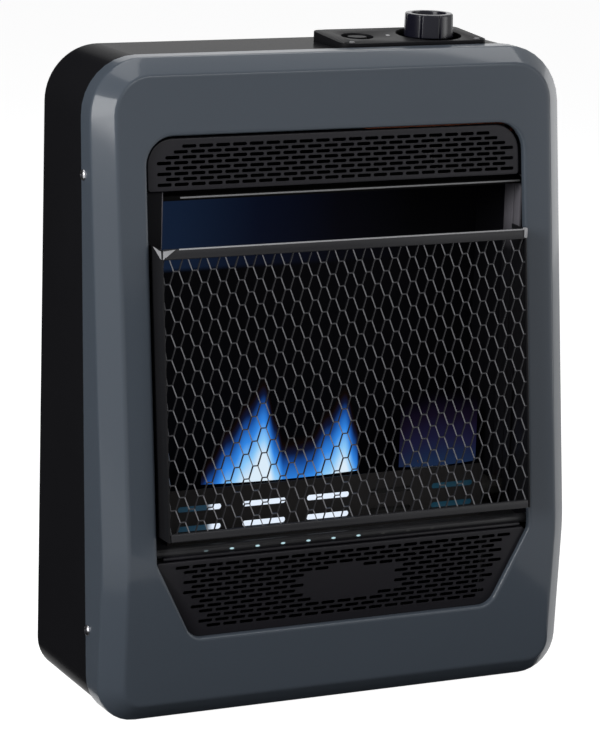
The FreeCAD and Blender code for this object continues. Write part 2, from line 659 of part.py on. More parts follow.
def make_burner():
    neck = rod("burner_blank", "burner_radius", "burner_half + burner_neck",
               "-burner_half", "burner_depth", "burner_height", "x")
    doc.recompute()
    tools = []
    for i in range(PORT_COUNT):
        x = (i - (PORT_COUNT - 1) / 2) * d.port_pitch
        tools.append(Part.makeBox(d.port_length, d.port_width, d.overrun,
                                  vec(x - d.port_length / 2, d.burner_depth + d.port_width / 2,
                                      d.burner_height + d.burner_radius - d.port_deep)))
    solid("burner_tube", neck.Shape.cut(tools))

    deck = "floor_height + liner_wall"
    feet = []
    for name, sign in (("left", "-"), ("right", "")):
        middle = f"{sign}saddle_spacing / 2"
        feet.append(block(f"saddle_{name}", f"{middle} - saddle_width / 2", f"{middle} + saddle_width / 2",
                          "burner_depth - burner_radius", "burner_depth + burner_radius",
                          deck, f"{deck} + saddle_rise"))
    bed = rod("saddle_bed", "burner_radius + seat_gap", "burner_half + burner_neck", "-burner_half",
              "burner_depth", "burner_height", "x")
    keep(cut("burner_saddles", fuse("saddle_pair", *feet), bed), "burner_saddles")

    mixer = rod("mixer_blank", "mixer_radius", "mixer_end - burner_neck", "burner_neck",
                "burner_depth", "burner_height", "x", SMALL_ROUND_COUNT)
    bore = rod("mixer_bore_tool", "mixer_bore", "mixer_end - burner_neck", "burner_neck",
               "burner_depth", "burner_height", "x", SMALL_ROUND_COUNT)
    keep(cut("mixer_tube", mixer, bore), "mixer_tube")

    plate_start = "mixer_end + seat_gap"
    plate = block("injector_plate_blank", plate_start, f"{plate_start} + injector_plate",
                  "burner_depth - injector_plate_width / 2", "burner_depth + injector_plate_width / 2",
                  "burner_height - injector_plate_width / 2", "burner_height + injector_plate_width / 2")
    hole = rod("injector_hole", "injector_radius + seat_gap", "mixer_end", "injector_start",
               "burner_depth", "burner_height", "x", HEXAGON_COUNT)
    keep(cut("injector_bracket", plate, hole), "injector_bracket")
    keep(rod("gas_injector", "injector_radius", "injector_length", "injector_start",
             "burner_depth", "burner_height", "x", HEXAGON_COUNT), "gas_injector")

    shield = block("shield_blank", "-shield_width / 2", "shield_width / 2", "shield_depth",
                   "shield_depth + shield_wall", deck, "shield_top")
    slots = []
    for column in range(PORT_SLOT_COLUMNS):
        place = f"({column - (PORT_SLOT_COLUMNS - 1) // 2}) * port_slot_pitch"
        for row in ("port_slot_low", "port_slot_high"):
            slots.append(block(f"{row}_{column}", f"{place} - port_slot_length / 2",
                               f"{place} + port_slot_length / 2",
                               "shield_depth - overrun", "shield_depth + overrun",
                               f"{row} - port_slot_height / 2", f"{row} + port_slot_height / 2"))
    keep(cut("burner_shield", shield, *slots), "burner_shield")


def make_pilot():
    rear = d.pilot_plate_depth
    keep(block("pilot_bracket", "pilot_plate_left", "pilot_plate_left + pilot_plate_width",
               "pilot_plate_depth", "pilot_plate_depth + pilot_plate_wall",
               "floor_height + liner_wall", "pilot_plate_top"), "pilot_bracket")
    keep(rod("pilot_burner", "pilot_radius", "pilot_top - pilot_low", "pilot_x",
             "pilot_plate_depth - pilot_radius - seat_gap", "pilot_low", flats=SMALL_ROUND_COUNT),
         "pilot_burner")
    valve_side = d.knob_x + d.valve_width / 2
    bend = d.line_bend

    q = rear - d.pilot_radius - d.seat_gap
    z = d.pilot_line_height
    run = [(d.pilot_x, q, d.pilot_low), (d.pilot_x, q, z), (d.pilot_riser, q, z),
           (d.pilot_riser, q, d.pilot_valve_height), (valve_side, q, d.pilot_valve_height)]
    solid("pilot_tube", tube([vec(*p) for p in run], d.pilot_line_radius, bend))

    q = rear - d.probe_radius - d.seat_gap
    z = d.probe_line_height
    run = [(d.probe_x, q, d.pilot_top), (d.probe_x, q, z), (d.probe_riser, q, z),
           (d.probe_riser, q, d.probe_valve_height), (valve_side, q, d.probe_valve_height)]
    solid("thermocouple", tube([vec(*p) for p in run], d.probe_radius, bend))

    q = rear - d.spark_radius - d.seat_gap
    z = d.spark_line_height
    cross = d.spark_cross_height
    run = [(d.spark_x, q, d.pilot_top), (d.spark_x, q, z), (d.spark_riser, q, z), (d.spark_riser, q, cross),
           (d.igniter_x, q, cross), (d.igniter_x, d.control_depth, cross),
           (d.igniter_x, d.control_depth, d.igniter_low)]
    solid("ignition_lead", tube([vec(*p) for p in run], d.spark_radius, bend))


def make_gas_supply():
    body = block("valve_blank", "knob_x - valve_width / 2", "knob_x + valve_width / 2",
                 "valve_rear", "valve_front", "valve_low", "valve_high")
    under = "panel_height - panel_wall - casing_wall - 2 * seat_gap"
    neck = rod("valve_neck", "valve_neck_radius", f"{under} - valve_high", "knob_x", "control_depth",
               "valve_high", flats=SMALL_ROUND_COUNT)
    room = rod("plunger_room_tool", "plunger_radius + running_gap", "plunger_height + 2 * plunger_room",
               "knob_x", "control_depth", "plunger_low - plunger_room")
    bore = rod("stem_bore", "stem_radius + running_gap", f"{under} - plunger_low", "knob_x",
               "control_depth", "plunger_low")
    keep(cut("gas_valve", fuse("valve_with_neck", body, neck), room, bore), "gas_valve")

    left, right = "knob_x - bracket_width / 2", "knob_x + bracket_width / 2"
    deck = block("bracket_deck", left, right, "valve_rear", "valve_front",
                 "valve_high", "valve_high + bracket_wall")
    ears = [block("bracket_ear_left", left, f"{left} + bracket_wall", "valve_rear", "valve_front",
                  "valve_high", under),
            block("bracket_ear_right", f"{right} - bracket_wall", right, "valve_rear", "valve_front",
                  "valve_high", under)]
    hole = rod("bracket_hole", "valve_neck_radius + seat_gap", "overrun", "knob_x", "control_depth",
               "valve_high - overrun / 2", flats=SMALL_ROUND_COUNT)
    keep(cut("valve_bracket", fuse("bracket_blank", deck, *ears), hole), "valve_bracket")

    keep(rod("valve_plunger", "plunger_radius", "plunger_height", "knob_x", "control_depth", "plunger_low"),
         "valve_plunger")
    keep(rod("valve_stem", "stem_radius", "stem_top - plunger_low - plunger_height - seat_gap", "knob_x",
             "control_depth", "plunger_low + plunger_height + seat_gap"), "valve_stem")

    disc = rod("regulator_disc", "regulator_radius", "regulator_rise", "regulator_x", "regulator_depth",
               "regulator_height - regulator_rise / 2", flats=LARGE_ROUND_COUNT)
    hub_near = "back_wall + seat_gap"
    hub = rod("regulator_inlet", "regulator_hub", f"regulator_depth - ({hub_near})", "regulator_x",
              "regulator_depth", "regulator_height", "back", HEXAGON_COUNT)
    outlet = rod("regulator_outlet", "regulator_hub", "outlet_reach", "regulator_x", "regulator_depth",
                 "regulator_height", "x", HEXAGON_COUNT)
    inlet = rod("regulator_thread", "inlet_bore", "inlet_length + overrun", "regulator_x",
                f"{hub_near} + inlet_length", "regulator_height", "back")
    keep(cut("gas_regulator", fuse("regulator_blank", disc, hub, outlet), inlet), "gas_regulator")

    seat = "regulator_height - regulator_rise / 2"
    ground = "panel_wall + casing_wall + 2 * seat_gap"
    post_near = "regulator_depth + regulator_radius"
    x0, x1 = "regulator_x - shelf_width / 2", "regulator_x + shelf_width / 2"
    screen_left = "regulator_x - screen_reach"
    keep(fuse("regulator_bracket",
              block("shelf_deck", x0, x1, "regulator_depth", f"{post_near} + shelf_wall",
                    f"{seat} - shelf_wall", seat),
              block("shelf_screen", screen_left, x1, post_near, f"{post_near} + shelf_wall", ground,
                    f"{ground} + screen_height"),
              block("shelf_foot", x0, x1, post_near, f"{post_near} + regulator_radius", ground,
                    f"{ground} + shelf_wall")), "regulator_bracket")

    valve_side = d.knob_x + d.valve_width / 2
    q, z = d.regulator_depth, d.regulator_height
    run = [(d.regulator_x + d.outlet_reach, q, z), (d.pipe_riser, q, z),
           (d.pipe_riser, q, d.pipe_valve_height), (valve_side, q, d.pipe_valve_height)]
    solid("inlet_pipe", tube([vec(*p) for p in run], d.pipe_radius, d.pipe_bend))

    riser = d.injector_end + d.feed_lead + d.feed_bend
    q, z = d.burner_depth, d.burner_height
    high = d.feed_valve_height
    run = [(d.injector_end, q, z), (riser, q, z), (riser, q, high), (riser, d.feed_valve_depth, high),
           (valve_side, d.feed_valve_depth, high)]
    solid("burner_feed_tube", tube([vec(*p) for p in run], d.feed_radius, d.feed_bend))


def revolved(label, points, x, depth, z):
    """A turned piece: a body whose (radius, height) profile is bound corner by corner to the sheet."""
    body = doc.addObject("PartDesign::Body", label)
    sketch = body.newObject("Sketcher::SketchObject", label + "_profile")
    sketch.AttachmentSupport = (next(f for f in body.Origin.OriginFeatures if f.Role == "XZ_Plane"), "")
    sketch.MapMode = "FlatFace"
    count = len(points)
    spread = [(i + 1, (i + 1) * (count - i)) for i in range(count)]
    for i in range(count):
        first = FreeCAD.Vector(*spread[i], 0)
        last = FreeCAD.Vector(*spread[(i + 1) % count], 0)
        sketch.addGeometry(Part.LineSegment(first, last), False)
    for i in range(count):
        sketch.addConstraint(Sketcher.Constraint("Coincident", i, 2, (i + 1) % count, 1))
    for i, (radius, height) in enumerate(points):
        for kind, text, axis, value in (("DistanceX", radius, -2, spread[i][0]),
                                        ("DistanceY", height, -1, spread[i][1])):
            if text == "0":
                sketch.addConstraint(Sketcher.Constraint("PointOnObject", i, 1, axis))
            else:
                index = sketch.addConstraint(Sketcher.Constraint(kind, -1, 1, i, 1, value))
                sketch.setExpression(f"Constraints[{index}]", cells(text))
    turn = body.newObject("PartDesign::Revolution", label + "_turn")
    turn.Profile = sketch
    turn.ReferenceAxis = (sketch, ["V_Axis"])
    turn.Angle = 360
    body.setExpression("Placement.Base.x", cells(x))
    body.setExpression("Placement.Base.y", cells(f"overall_depth / 2 - ({depth})"))
    body.setExpression("Placement.Base.z", cells(z))
    doc.recompute()
    return body


def make_controls():
    top = "panel_height - panel_wall - seat_gap"
    plate = block("plate_blank", "plate_left", "plate_right", "plate_rear", "plate_front", top,
                  f"{top} + plate_height")
    doc.recompute()
    uprights = [i + 1 for i, e in enumerate(plate.Shape.Edges)
                if abs(e.Vertexes[0].Z - e.Vertexes[-1].Z) > d.seat_gap]
    soft = doc.addObject("Part::Fillet", "plate_rounded")
    soft.Base = plate
    soft.Edges = [(i, d.plate_corner, d.plate_corner) for i in uprights]
    wells = [rod("knob_well_tool", "knob_well", "plate_height + overrun", "knob_x", "control_depth", top,
                 flats=LARGE_ROUND_COUNT),
             rod("igniter_well_tool", "igniter_well", "plate_height + overrun", "igniter_x",
                 "control_depth", top, flats=LARGE_ROUND_COUNT)]
    for name, x in (("left", "plate_left + plate_screw_inset"), ("right", "plate_right - plate_screw_inset")):
        wells.append(rod(f"plate_screw_hole_{name}", "screw_shank + screw_gap", "plate_height + overrun", x,
                         "plate_front - plate_screw_inset", top, flats=SMALL_ROUND_COUNT))
    keep(cut("control_plate", soft, *wells), "control_plate")

    dish = "knob_height - knob_dish_depth"
    knob = revolved("control_knob", [
        ("stem_radius + 2 * running_gap", "0"), ("knob_radius", "0"), ("knob_radius", "knob_height"),
        ("knob_dish", "knob_height"), ("knob_dish", dish), ("0", dish), ("0", "knob_bore_depth"),
        ("stem_radius + 2 * running_gap", "knob_bore_depth")],
        "knob_x", "control_depth", f"{top} + knob_lift")
    flute = knob.newObject("Sketcher::SketchObject", "knob_groove_outline")
    flute.AttachmentSupport = (next(f for f in knob.Origin.OriginFeatures if f.Role == "XY_Plane"), "")
    flute.MapMode = "FlatFace"
    flute.addGeometry(Part.Circle(FreeCAD.Vector(d.knob_radius, 0, 0), FreeCAD.Vector(0, 0, 1),
                                  d.knob_groove), False)
    flute.addConstraint(Sketcher.Constraint("PointOnObject", 0, 3, -1))
    index = flute.addConstraint(Sketcher.Constraint("DistanceX", -1, 1, 0, 3, d.knob_radius))
    flute.setExpression(f"Constraints[{index}]", cells("knob_radius"))
    index = flute.addConstraint(Sketcher.Constraint("Radius", 0, d.knob_groove))
    flute.setExpression(f"Constraints[{index}]", cells("knob_groove"))
    groove = knob.newObject("PartDesign::Pocket", "knob_groove_cut")
    groove.Profile = flute
    groove.Type = "ThroughAll"
    groove.Reversed = True
    doc.recompute()
    ring = knob.newObject("PartDesign::PolarPattern", "knob_groove_ring")
    ring.Originals = [groove]
    ring.Axis = (next(f for f in knob.Origin.OriginFeatures if f.Role == "Z_Axis"), [""])
    ring.Angle = 360
    ring.Occurrences = KNOB_GROOVE_COUNT
    knob.Tip = ring
    keep(knob, "control_knob")

    keep(rod("igniter_button", "button_radius", f"{top} + plate_height + button_proud - button_low",
             "igniter_x", "control_depth", "button_low"), "igniter_button")

    under = "panel_height - panel_wall - casing_wall - 2 * seat_gap"
    case = rod("igniter_blank", "igniter_radius", f"{under} - igniter_low", "igniter_x", "control_depth",
               "igniter_low", flats=SMALL_ROUND_COUNT)
    bore = rod("igniter_bore", "button_radius + running_gap", "panel_height - button_low + igniter_room",
               "igniter_x", "control_depth", "button_low - igniter_room")
    keep(cut("igniter_body", case, bore), "igniter_body")
    nut = rod("nut_blank", "igniter_nut_radius", "igniter_nut_height", "igniter_x", "control_depth",
              f"{under} - igniter_nut_height", flats=HEXAGON_COUNT)
    hole = rod("nut_hole", "igniter_radius + seat_gap", "panel_height", "igniter_x", "control_depth",
               "igniter_low", flats=SMALL_ROUND_COUNT)
    keep(cut("igniter_nut", nut, hole), "igniter_nut")


def screw(seat, outward):
    """A round-headed screw: its head stands on a seat and its shank runs inward."""
    half = d.screw_head_height / 2
    steps = ((0, d.screw_head), (half, d.screw_head), (2 * half, d.screw_head - half))
    rings = [flat_ring(seat + outward * rise, outward, radius, SMALL_ROUND_COUNT) for rise, radius in steps]
    head = Part.makeLoft(rings, True, True)
    return head.fuse(small_rod(d.screw_shank, seat, outward * -d.screw_reach))


def make_screws():
    rim = []
    for side in (-1, 1):
        for q, z in rim_screw_places():
            rim.append(screw(vec(side * d.panel_width / 2, q, z), FreeCAD.Vector(side, 0, 0)))
    solid("rim_screws", Part.makeCompound(rim))
    seat = d.panel_height - d.panel_wall - d.seat_gap + d.plate_height
    tops = [screw(vec(x, q, seat), FreeCAD.Vector(0, 0, 1)) for x, q in plate_screw_places()]
    solid("control_plate_screws", Part.makeCompound(tops))


make_front_panel()
make_casing()
make_back_panel()
make_upper_grille()
make_lower_grille()
make_guard()
make_firebox()
make_burner()
make_pilot()
make_gas_supply()
make_controls()
make_screws()
doc.recompute()

for obj in doc.Objects:
    if "Invalid" in obj.State or "Error" in obj.State:
        raise RuntimeError(f"{obj.Label} did not recompute: {obj.State}")
for obj in nodes:
    if obj.Shape.isNull() or not obj.Shape.isValid() or not obj.Shape.Solids:
        raise RuntimeError(f"{obj.Label} has no valid solid")

os.makedirs("parts", exist_ok=True)
for obj in nodes:
    obj.Shape.exportStep(f"parts/{obj.Label}.step")
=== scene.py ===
import math

import bmesh
import bpy
from mathutils import Matrix, Vector


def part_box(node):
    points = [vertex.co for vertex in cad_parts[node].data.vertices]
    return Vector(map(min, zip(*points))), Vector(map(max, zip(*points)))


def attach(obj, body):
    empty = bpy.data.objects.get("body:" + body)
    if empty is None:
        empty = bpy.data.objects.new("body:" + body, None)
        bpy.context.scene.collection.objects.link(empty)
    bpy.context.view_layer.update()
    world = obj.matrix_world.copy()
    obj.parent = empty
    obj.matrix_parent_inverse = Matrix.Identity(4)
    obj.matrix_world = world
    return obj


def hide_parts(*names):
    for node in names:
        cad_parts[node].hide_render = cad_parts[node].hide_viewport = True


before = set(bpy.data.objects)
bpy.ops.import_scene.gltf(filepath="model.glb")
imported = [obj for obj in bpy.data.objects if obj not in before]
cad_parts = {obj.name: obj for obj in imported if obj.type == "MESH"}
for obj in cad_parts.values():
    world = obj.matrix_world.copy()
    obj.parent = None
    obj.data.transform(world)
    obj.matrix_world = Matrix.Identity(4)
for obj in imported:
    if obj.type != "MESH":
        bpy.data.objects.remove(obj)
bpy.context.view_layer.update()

# Casing and back panel: a wrap of thin sheet steel folded round the sides, top and bottom, closed
# by a flat back panel inside its rear flange. Both are stoved in satin black.
MM = 0.001


class Value:
    """One value in a node tree. Arithmetic on it adds Math nodes."""

    def __init__(self, owner, socket):
        self.owner = owner
        self.socket = socket

    def math(self, operation, first, second=0.0):
        return self.owner.node("ShaderNodeMath", {"operation": operation}, {0: first, 1: second})

    def call(self, operation, other=0.0):
        return self.math(operation, self, other)

    def __add__(self, other):
        return self.math("ADD", self, other)

    def __radd__(self, other):
        return self.math("ADD", other, self)

    def __sub__(self, other):
        return self.math("SUBTRACT", self, other)

    def __rsub__(self, other):
        return self.math("SUBTRACT", other, self)

    def __mul__(self, other):
        return self.math("MULTIPLY", self, other)

    def __rmul__(self, other):
        return self.math("MULTIPLY", other, self)

    def __truediv__(self, other):
        return self.math("DIVIDE", self, other)

    def __rtruediv__(self, other):
        return self.math("DIVIDE", other, self)

    def __lt__(self, other):
        return self.math("LESS_THAN", self, other)

    def __gt__(self, other):
        return self.math("GREATER_THAN", self, other)

    def __abs__(self):
        return self.math("ABSOLUTE", self)


class Nodes:
    """A node tree with one method that adds any node: type, settings, and socket values or links."""

    def __init__(self, tree):
        self.tree = tree

    def node(self, kind, settings=None, sockets=None, output=0):
        made = self.tree.nodes.new(kind)
        for key, value in (settings or {}).items():
            if key == "stops":
                self.set_stops(made.color_ramp.elements, value)
            else:
                setattr(made, key, value)
        for key, value in (sockets or {}).items():
            if isinstance(value, Value):
                self.tree.links.new(value.socket, made.inputs[key])
            else:
                made.inputs[key].default_value = value
        return Value(self, made.outputs[output])

    def mix(self, factor, first, second):
        colours = {"Factor": factor, 6: first, 7: second}
        return self.node("ShaderNodeMix", {"data_type": "RGBA"}, colours, 2)

    def set_stops(self, elements, stops):
        while len(elements) < len(stops):
            elements.new(1.0)
        for element, (place, colour) in zip(elements, stops):
            element.position = place
            element.color = (*colour, 1.0)


class Finish(Nodes):
    """A surface finish: one material, with its constants set on the shader's own sockets."""

    def __init__(self, name, **constants):
        self.material = bpy.data.materials.new(name)
        self.material.use_nodes = True
        super().__init__(self.material.node_tree)
        self.shader = self.tree.nodes["Principled BSDF"]
        for socket, value in constants.items():
            self.shader.inputs[socket.replace("_", " ")].default_value = value

    def feed(self, socket, value):
        self.tree.links.new(value.socket, self.shader.inputs[socket])

    def place(self):
        return self.node("ShaderNodeTexCoord", output="Object")

    def noise(self, scale, detail=2.0):
        sockets = {"Vector": self.place(), "Scale": scale, "Detail": detail}
        return self.node("ShaderNodeTexNoise", {}, sockets, "Fac")

    def along(self, axis):
        return self.node("ShaderNodeSeparateXYZ", {}, {"Vector": self.place()}, axis)

    def ramp(self, value, stops):
        return self.node("ShaderNodeValToRGB", {"stops": stops}, {"Fac": value})

    def grain_noise(self):
        grain_scale, grain_detail = 1400.0, 1.0
        return self.noise(grain_scale, grain_detail)

    def grain_bump(self, height, strength):
        grain_height = 0.2 * MM
        self.feed("Normal", self.node("ShaderNodeBump", {}, {
            "Height": height, "Strength": strength, "Distance": grain_height}))


def coated(name, colour, rough, grain, patch=0.12, **constants):
    """A stoved or moulded coat: an even colour with faint patches, and a fine grain in its surface."""
    patch_scale, gloss_spread = 9.0, 0.12
    finish = Finish(name, **constants)
    broad, fine = finish.noise(patch_scale), finish.grain_noise()
    dark = [part * (1 - patch) for part in colour] + [1.0]
    pale = [part * (1 + patch) for part in colour] + [1.0]
    finish.feed("Base Color", finish.mix(broad, dark, pale))
    finish.feed("Roughness", fine * gloss_spread + (rough - gloss_spread / 2))
    finish.grain_bump(fine, grain)
    return finish.material


def dress(material, *nodes):
    """Give CAD nodes their finish."""
    for node in nodes:
        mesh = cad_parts[node].data
        mesh.materials.clear()
        mesh.materials.append(material)


casing_paint = coated("casing_paint", (0.007, 0.007, 0.008), 0.22, 0.06, Specular_IOR_Level=0.003)
back_paint = coated("back_paint", (0.010, 0.010, 0.011), 0.38, 0.08, Specular_IOR_Level=0.12)
dress(casing_paint, "casing_shell")
dress(back_paint, "back_panel")

# Front panel: one deep stamping of sheet steel with a rolled rim, a bevel all round, a soft knee
# low down and a return round its opening. Powder-coated slate grey, held by four screws in the rim.
CABINET = "cabinet"
back_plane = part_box("back_panel")[1].y
panel_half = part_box("front_panel")[1].x
panel_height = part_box("front_panel")[1].z
panel_wall = 1.2 * MM
rim_back_top, rim_back_bottom = 83 * MM, 119 * MM
rim_front_top, rim_front_knee, rim_front_bottom = 99 * MM, 149 * MM, 142 * MM
knee_height, knee_soft = 139 * MM, 14 * MM
bevel_width, bevel_depth = 16.8 * MM, 16 * MM
top_steeper = 0.24
panel_radii = [48 * MM, 48 * MM, knee_soft, 34 * MM, 34 * MM, knee_soft]
opening_half, opening_low_half = 173.5 * MM, 140 * MM
opening_top, opening_bottom = 486 * MM, 72 * MM
opening_radii = [24 * MM, 24 * MM, 12 * MM, 16 * MM, 16 * MM, 12 * MM]
return_depth = 5 * MM


def rim_front(z):
    """Depth of the panel's rim forward of the back plane, with the knee eased into a curve."""
    upper = (rim_front_top - rim_front_knee) / (panel_height - knee_height)
    lower = (rim_front_knee - rim_front_bottom) / knee_height
    off = z - knee_height
    if off >= knee_soft:
        return rim_front_knee + upper * off
    if off <= -knee_soft:
        return rim_front_knee + lower * off
    share = (off + knee_soft) / (2 * knee_soft)
    ends = [rim_front_knee - lower * knee_soft, rim_front_knee, rim_front_knee + upper * knee_soft]
    return ends[0] * (1 - share) ** 2 + 2 * ends[1] * share * (1 - share) + ends[2] * share ** 2


def rim_back(z):
    return rim_back_bottom + (rim_back_top - rim_back_bottom) * z / panel_height


def grown(corners, amount):
    """The corners of an outline moved outwards, its sides kept parallel."""
    moved = []
    for before, here, after in zip(corners[-1:] + corners[:-1], corners, corners[1:] + corners[:1]):
        into, out = (here - before).normalized(), (after - here).normalized()
        normals = [Vector((-side.y, side.x)) for side in (into, out)]
        middle = (normals[0] + normals[1]).normalized()
        moved.append(here + middle * (amount / middle.dot(normals[0])))
    return moved


def rounded(corners, radii, corner_steps=8, side_steps=5):
    """Points along an outline with rounded corners, always the same number of them per corner."""
    straight_from = math.radians(89)
    ends = []
    for i, (here, radius) in enumerate(zip(corners, radii)):
        after = corners[(i + 1) % len(corners)]
        arms = [(corners[i - 1] - here).normalized(), (after - here).normalized()]
        half = arms[0].angle(arms[1]) / 2
        straight = half > straight_from
        run = radius if straight else radius / math.tan(half)
        first, last = here + arms[0] * run, here + arms[1] * run
        if straight:
            arc = [first.lerp(last, k / corner_steps) for k in range(corner_steps + 1)]
        else:
            centre = here + (arms[0] + arms[1]).normalized() * (radius / math.sin(half))
            start = math.atan2(*(first - centre).yx)
            sweep = math.remainder(math.atan2(*(last - centre).yx) - start, math.tau)
            arc = [centre + radius * Vector((math.cos(start + sweep * k / corner_steps),
                                             math.sin(start + sweep * k / corner_steps)))
                   for k in range(corner_steps + 1)]
        ends.append(arc)
    points = []
    for arc, following in zip(ends, ends[1:] + ends[:1]):
        points += arc
        points += [arc[-1].lerp(following[0], k / side_steps) for k in range(1, side_steps)]
    return points


def eased(before, corner, after, steps=4):
    """A corner of a section drawn as a soft curve between two points beside it."""
    return [before.lerp(corner, k / steps).lerp(corner.lerp(after, k / steps), k / steps)
            for k in range(steps + 1)]


def in_space(outline, depth):
    return [(p.x, back_plane - depth(p.y), p.y) for p in outline]


def plain_mesh(name, points, faces):
    mesh = bpy.data.meshes.new(name)
    mesh.from_pydata(points, [], faces)
    return mesh


def ring_mesh(name, rings, caps=False):
    """A skin through rings of points of the same count, with the end rings capped or open."""
    count = len(rings[0])
    faces = []
    for i in range(len(rings) - 1):
        for j in range(count):
            k = (j + 1) % count
            faces.append((i * count + j, i * count + k, (i + 1) * count + k, (i + 1) * count + j))
    if caps:
        last = (len(rings) - 1) * count
        faces += [tuple(reversed(range(count))), tuple(range(last, last + count))]
    mesh = plain_mesh(name, [p for ring in rings for p in ring], faces)
    work = bmesh.new()
    work.from_mesh(mesh)
    bmesh.ops.recalc_face_normals(work, faces=work.faces)
    work.to_mesh(mesh)
    work.free()
    return mesh


def shown(name, mesh, material=None):
    thing = bpy.data.objects.new(name, mesh)
    bpy.context.collection.objects.link(thing)
    if material:
        mesh.materials.clear()
        mesh.materials.append(material)
    return thing


def settled(thing):
    """Turn a piece's modifiers into plain mesh, smooth except at its real edges."""
    sharp_edge = 35.0
    graph = bpy.context.evaluated_depsgraph_get()
    mesh = bpy.data.meshes.new_from_object(thing.evaluated_get(graph))
    thing.modifiers.clear()
    thing.data = mesh
    mesh.shade_smooth()
    mesh.set_sharp_from_angle(angle=math.radians(sharp_edge))
    return thing


def fixed(thing, slot, *nodes):
    """Fix a piece to the cabinet, in place of the CAD nodes that it stands for."""
    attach(thing, CABINET)
    if nodes:
        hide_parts(*nodes)


def corners_of(*pairs):
    return [Vector(pair) for pair in pairs]


panel_corners = corners_of((-panel_half, panel_height), (panel_half, panel_height),
                           (panel_half, knee_height), (panel_half, 0),
                           (-panel_half, 0), (-panel_half, knee_height))
opening_corners = corners_of((-opening_half, opening_top), (opening_half, opening_top),
                             (opening_half, knee_height), (opening_low_half, opening_bottom),
                             (-opening_low_half, opening_bottom), (-opening_half, knee_height))


def panel_ring(inset, forward):
    knee_corners = (2, 5)
    radii = [r if i in knee_corners else r - inset for i, r in enumerate(panel_radii)]
    corners = grown(panel_corners, -inset)
    for corner in corners[:2]:
        corner.y += inset * top_steeper
    return in_space(rounded(corners, radii), lambda z: rim_front(z) + forward)


def opening_ring(grow, forward):
    radii = [r + grow for r in opening_radii]
    return in_space(rounded(grown(opening_corners, grow), radii), lambda z: rim_front(z) + forward)


rim_soft, face_soft, support = 2.0 * MM, 2.2 * MM, 1.4 * MM
bevel_run = Vector((bevel_width, bevel_depth)).normalized()
rim_edge, face_edge = Vector((0, 0)), Vector((bevel_width, bevel_depth))
section = [Vector((0, -rim_soft - support))]
section += eased(Vector((0, -rim_soft)), rim_edge, rim_edge + bevel_run * rim_soft)
section += eased(face_edge - bevel_run * face_soft, face_edge, face_edge + Vector((face_soft, 0)))
section.append(face_edge + Vector((face_soft + support, 0)))
panel_rings = [in_space(rounded(panel_corners, panel_radii), rim_back)]
panel_rings += [panel_ring(p.x, p.y) for p in section]
edge_soft = 2.8 * MM
panel_rings.append(opening_ring(edge_soft + support, bevel_depth))
edge = eased(Vector((edge_soft, bevel_depth)), Vector((0, bevel_depth)),
             Vector((0, bevel_depth - edge_soft)))
panel_rings += [opening_ring(p.x, p.y) for p in edge]
panel_rings.append(opening_ring(0, bevel_depth - return_depth))
slate_coat = coated("slate_coat", (0.050, 0.061, 0.076), 0.34, 0.10, 0.04, Specular_IOR_Level=0.08,
                    Coat_Weight=0.3, Coat_Roughness=0.1)
panel_mesh = ring_mesh("front_panel_pressing", panel_rings)
front_panel = shown("front_panel_pressing", panel_mesh, slate_coat)
wall = front_panel.modifiers.new("wall", "SOLIDIFY")
wall.thickness, wall.offset = panel_wall, -1.0
settled(front_panel)
fixed(front_panel, "slate_paint", "front_panel")

# Upper and lower grilles: shallow pressed trays of sheet steel with rows of fine slots that break
# joint like bricks, in black enamel. They sit in the opening just behind the panel's return.
grille_gap, grille_recess = 2.2 * MM, 5.3 * MM
grille_flange, grille_wall, grille_soft = 5 * MM, 1 * MM, 1.4 * MM
slot_sizes = {"Slot length": 12.9 * MM, "Slot height": 3.0 * MM, "Slot pitch": 15.05 * MM, "Stagger": 0.5,
              "Middle X": 1.6 * MM}
no_bare_place = {"Bare middle X": 0.0, "Bare middle Z": 0.0, "Bare width": 0.0, "Bare height": 0.0,
                 "Bare arch": 0.0}


